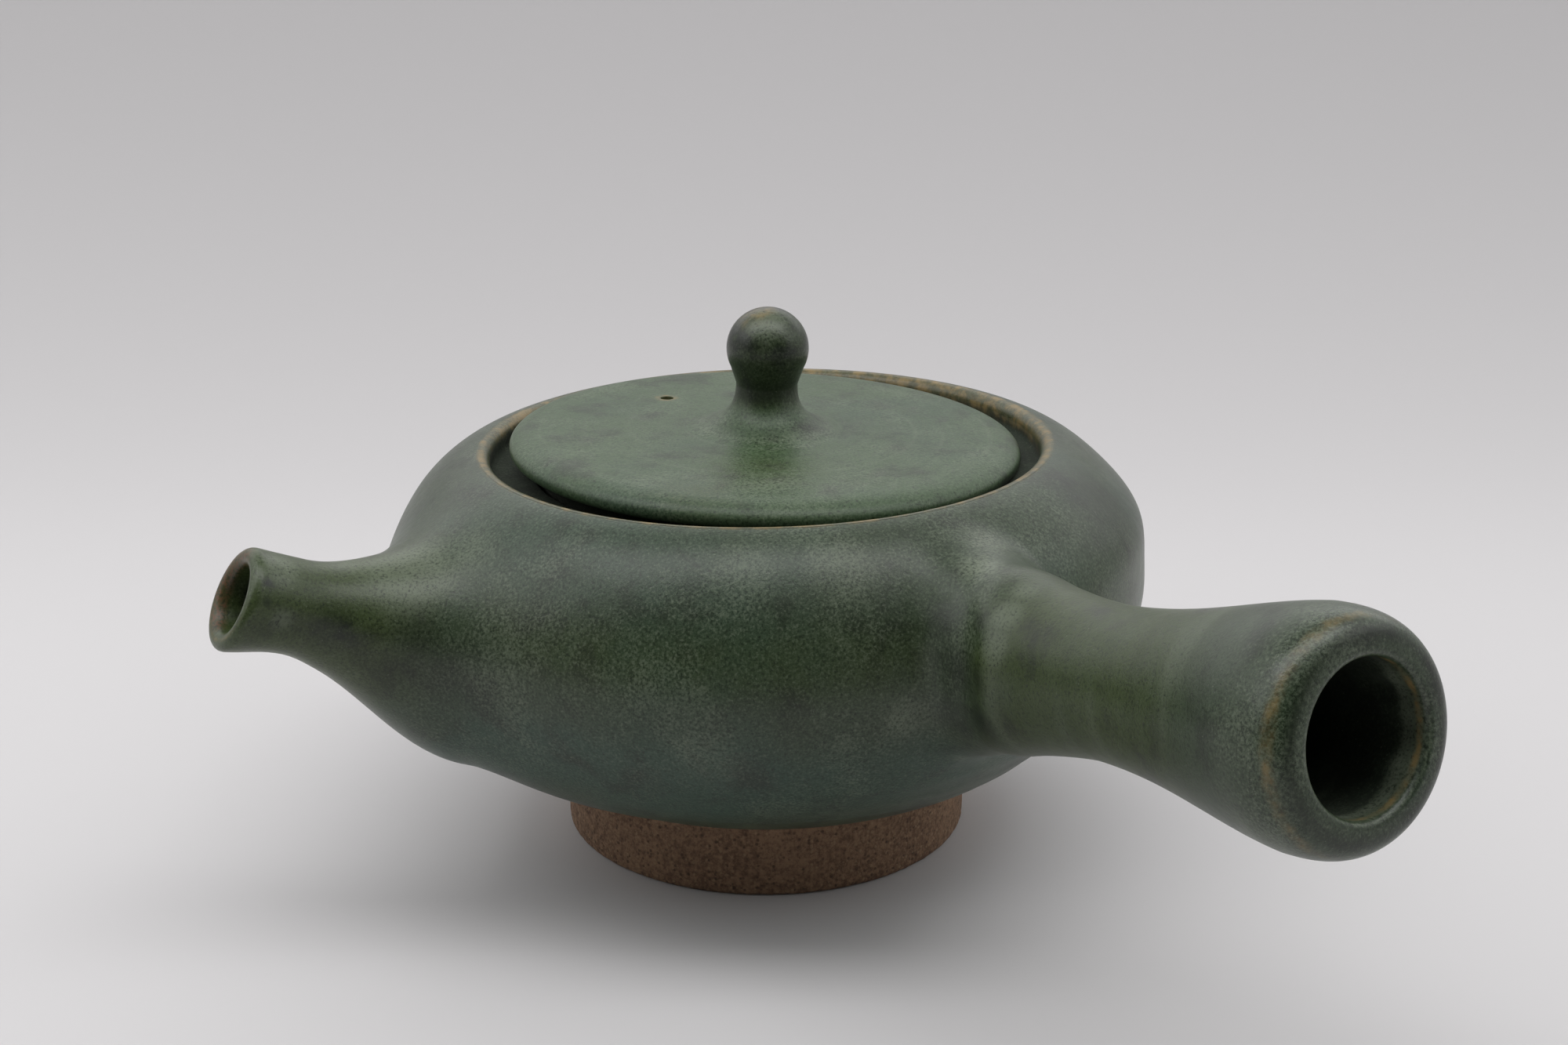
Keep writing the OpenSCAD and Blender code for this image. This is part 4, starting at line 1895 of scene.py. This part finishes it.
@dataclass
class Teapot:
    """The whole pot and its finishes."""

    form: PotForm = field(default_factory=PotForm)
    lid: Lid = field(default_factory=Lid)
    foot: FootRing = field(default_factory=FootRing)

    def __post_init__(self) -> None:
        """Lutes spout and handle to the form."""
        self.spout = Spout(self.form, Axis(height=19.1, rise=22.5, heading=(-1.0, 0.0)))
        self.handle = Handle(self.form, Axis(height=35.67, rise=10.9, heading=(0.0, -1.0)))
        self.body = PotBody(self.form, self.spout)

    def pot_glaze(self) -> Glaze:
        """Glaze of body, spout and handle, with the marks of this firing and painted shade and highlights.

        Returns:
            The glaze.
        """
        nose, grip = self.spout.axis.line, self.handle.axis.line
        mouth, facing = self.spout.mouth, self.spout.facing
        lip = tuple(mouth), facing
        end = self.handle.reach
        hole = tuple(self.handle.axis.at(end))
        return Glaze(
            Slot.GLAZE.value,
            blues=(Sleeve(23, 36, 7, 66),),
            olives=(
                Sleeve(42, 52, 8, 64, strength=0.75),
                Sleeve(72, 110, 14, 30, *nose),
                Sleeve(72, 112, 14, 30, *grip),
                Patch((-9.5, -72.0, 51.0), 9),
            ),
            pools_and_shade=(
                # Painted shade, with some dark glaze, in the groove at the handle's root.
                Patch((-12.5, -65.5, 49.0), 8),
                Patch((-12.5, -64.0, 41.5), 8),
                Patch((-10.0, -61.0, 55.5), 6, 0.7),
                Patch((-12.0, -69.5, 49.5), 5),
                Patch((-10.5, -69.5, 42.0), 6),
                Patch((-9.0, -67.5, 57.0), 3.5, 0.8),
                # Dark mottles on the spout, then painted shade on the shoulder right of the handle.
                Patch((-66.0, -12.0, 48.0), 9, 0.6),
                Patch((-77.0, -7.5, 50.0), 7, 0.7),
                Patch((-63.0, -14.0, 43.0), 10, 0.6),
                Patch((-85.4, -5.9, 58.7), 1.4, 0.8),
                Patch((-86.0, -7.1, 56.1), 1.6, 0.7),
                Patch((32.0, -43.5, 60.0), 17, 0.7),
                # Painted shade inside the pot, the spout and the handle and on the face round the handle's
                # hole, and a darker tone over the whole handle.
                Sleeve(50, 62.3, 0.7, 43.9, edge=0.6),
                Sleeve(60, 92, 1, 5.2, *nose, edge=0.5),
                Sleeve(70, end - 1.2, 1, 10.4, *grip, 0.9, 0.5),
                Sleeve(68, 116, 8, 30, *grip, 0.25),
                EdgeBreak(12.4, end - 0.3, 2.0, *grip, 0.7),
            ),
            blooms_and_highlights=(
                # Pale glaze and painted highlights round the handle's root and on its ridge.
                Patch((-13.7, -58.9, 40.5), 7.5, 0.7),
                Patch((3.0, -53.2, 60.6), 7, 0.6),
                Patch((-2.5, -59.5, 61.2), 6, 0.8),
                Patch((-10.4, -72.4, 55.1), 4.5),
                Patch((-7.0, -71.5, 58.5), 4.5),
                Patch((-3.4, -70.6, 61.0), 4.0, 0.7),
                # Pale glaze and painted highlights on the belly and the shoulder.
                Patch((-38.4, -45.0, 36.0), 13, 0.4),
                Patch((-30.0, -43.0, 62.0), 10, 0.5),
                Patch((-19.0, -49.0, 61.3), 10, 0.5),
                Patch((-3.7, -58.6, 32.2), 3.5, 0.6),
                # Painted highlights along the top of the spout, and pale glaze with painted highlights under
                # its mouth.
                Patch((-56.0, -8.0, 58.0), 9, 0.6),
                Patch((-64.0, -4.5, 56.0), 13),
                Patch((-71.0, 0.0, 57.5), 8, 0.7),
                Patch((-82.5, -3.7, 59.5), 5),
                Patch((-84.1, -7.0, 53.1), 3.5, 0.6),
                Patch(tuple(mouth + (2.0, -0.5, -4.5)), 3.0),
                Patch(tuple(mouth + (3.5, -0.5, -4.0)), 3.5),
                # Pale glaze lumps with painted highlights in the handle's hole, and a painted highlight on
                # its edge.
                Part(Sleeve(end - 4, end - 0.8, 1.2, 10.4, *grip, edge=0.5), hole, (0.75, 0.0, -0.65), 5),
                EdgeBreak(10.1, end - 0.4, 0.6, *grip, 0.6),
            ),
            breaks_and_highlights=(
                # Thin glaze on the rim, the spout's mouth and the handle's end; on the rim's crest and far
                # side the tan is partly a painted highlight.
                EdgeBreak(44.7, 63.9, 1.4, strength=0.95, tall=2.5),
                Part(EdgeBreak(43.9, 62.9, 1.6, tall=1.8), ORIGIN, tuple(FORWARD), 30),
                EdgeBreak(6.9, 0.2, 0.8, *lip, 0.5),
                Part(EdgeBreak(14.0, end - 2.2, 1.7, *grip, 0.6), hole, (-0.9, 0.0, 0.4), 9),
                Part(EdgeBreak(9.8, end - 1.4, 0.9, *grip), hole, (0.9, 0.0, -0.2), 4),
            ),
            rusts=(Part(EdgeBreak(5.4, -0.4, 2.4, *lip), tuple(mouth), (0.0, 1.0, 0.2), 2),),
            dulls=(
                Sleeve(50, 62.3, 0.7, 43.9, edge=0.6),
                Sleeve(70, end - 2.5, 1, 10.4, *grip, 0.9, 0.5),
                Patch((-9.5, -57.5, 58.0), 7, 0.5),
            ),
            calms=(Sleeve(70, end - 10, 8, 40, *grip), Sleeve(68, 100, 8, 40, *nose, 0.6)),
            shines=(
                Part(EdgeBreak(13.8, end - 2.6, 4.0, *grip), hole, (-0.7, 0.0, 0.7), 6),
                Patch((-84.0, -4.5, 59.5), 5),
            ),
            streaks=(Streaks(7.0, 0.5, *grip, 66),),
            bare_below=12.95,
        )

    def lid_glaze(self) -> Glaze:
        """Glaze of the lid and its knob, with the marks of this firing and painted shade and highlights.

        Returns:
            The glaze.
        """
        return Glaze(
            Slot.LID.value,
            green=Tint(63, 84, 55),
            roughness=0.42,
            olives=(Patch((-12, -19, 65.5), 18, 0.6), Sleeve(70, 90, 2, 12, strength=0.8)),
            pools_and_shade=(
                # Painted shade at the knob's neck, on its skirt and ball, and in the gap under the plate's
                # edge.
                EdgeBreak(5.0, 73.0, 5.0),
                EdgeBreak(9.0, 68.0, 4.0, strength=0.45),
                Sleeve(71, 90, 2, 12, strength=0.7),
                EdgeBreak(40.3, 61.9, 1.6),
            ),
            blooms_and_highlights=(
                # Pale glaze on the knob's skirt, painted light on the plate's front and a painted highlight
                # on the knob's top.
                EdgeBreak(10.0, 67.0, 3.0, strength=0.4),
                Patch((-16.0, -27.0, 66.0), 14, 0.5),
                Patch((-2.0, -3.5, 84.0), 5.5),
            ),
            # Thin glaze round the steam hole, and tan on the knob's top that is partly thin glaze and partly
            # a painted highlight.
            breaks_and_highlights=(EdgeBreak(1.3, 0.0, 1.3, self.lid.steam_hole), Patch((-2.0, -0.5, 85.2), 6.0, 0.6)),
            rusts=(Patch((-31.6, -16.9, 65.5), 0.7), Patch((-27.0, -23.0, 65.0), 15, 0.25)),
            shines=(Sleeve(72, 92, 3, 14, strength=0.9),),
            streaks=(Streaks(1.6, 0.35, rings=True),),
        )

    def build(self) -> None:
        """Makes and dresses every piece."""
        glaze, lid_glaze = self.pot_glaze().build(), self.lid_glaze().build()
        inner = Glaze(Slot.INNER.value).build()
        self.body.build(glaze)
        self.foot.build(BareClay(Slot.FOOT.value).build())
        self.spout.build(glaze)
        self.handle.build(glaze)
        self.lid.build_plate(lid_glaze)
        # The ring's top, deep in the gap under the plate, gets painted shade.
        self.lid.build_ring(BareClay(Slot.CLAY.value, depth=0.15, shaded_above=58.5).build())
        self.lid.build_knob(lid_glaze)
        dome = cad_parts["strainer_dome"]
        dome.data.materials.clear()
        dome.data.materials.append(inner)
        LOG.info("strainer_dome: kept from the solids")


def main() -> None:
    """Builds the pot in its studio."""
    logging.basicConfig(level=logging.INFO, format="%(name)s %(message)s")
    Teapot().build()
    Studio().build()


if __name__ == "__main__":
    main()
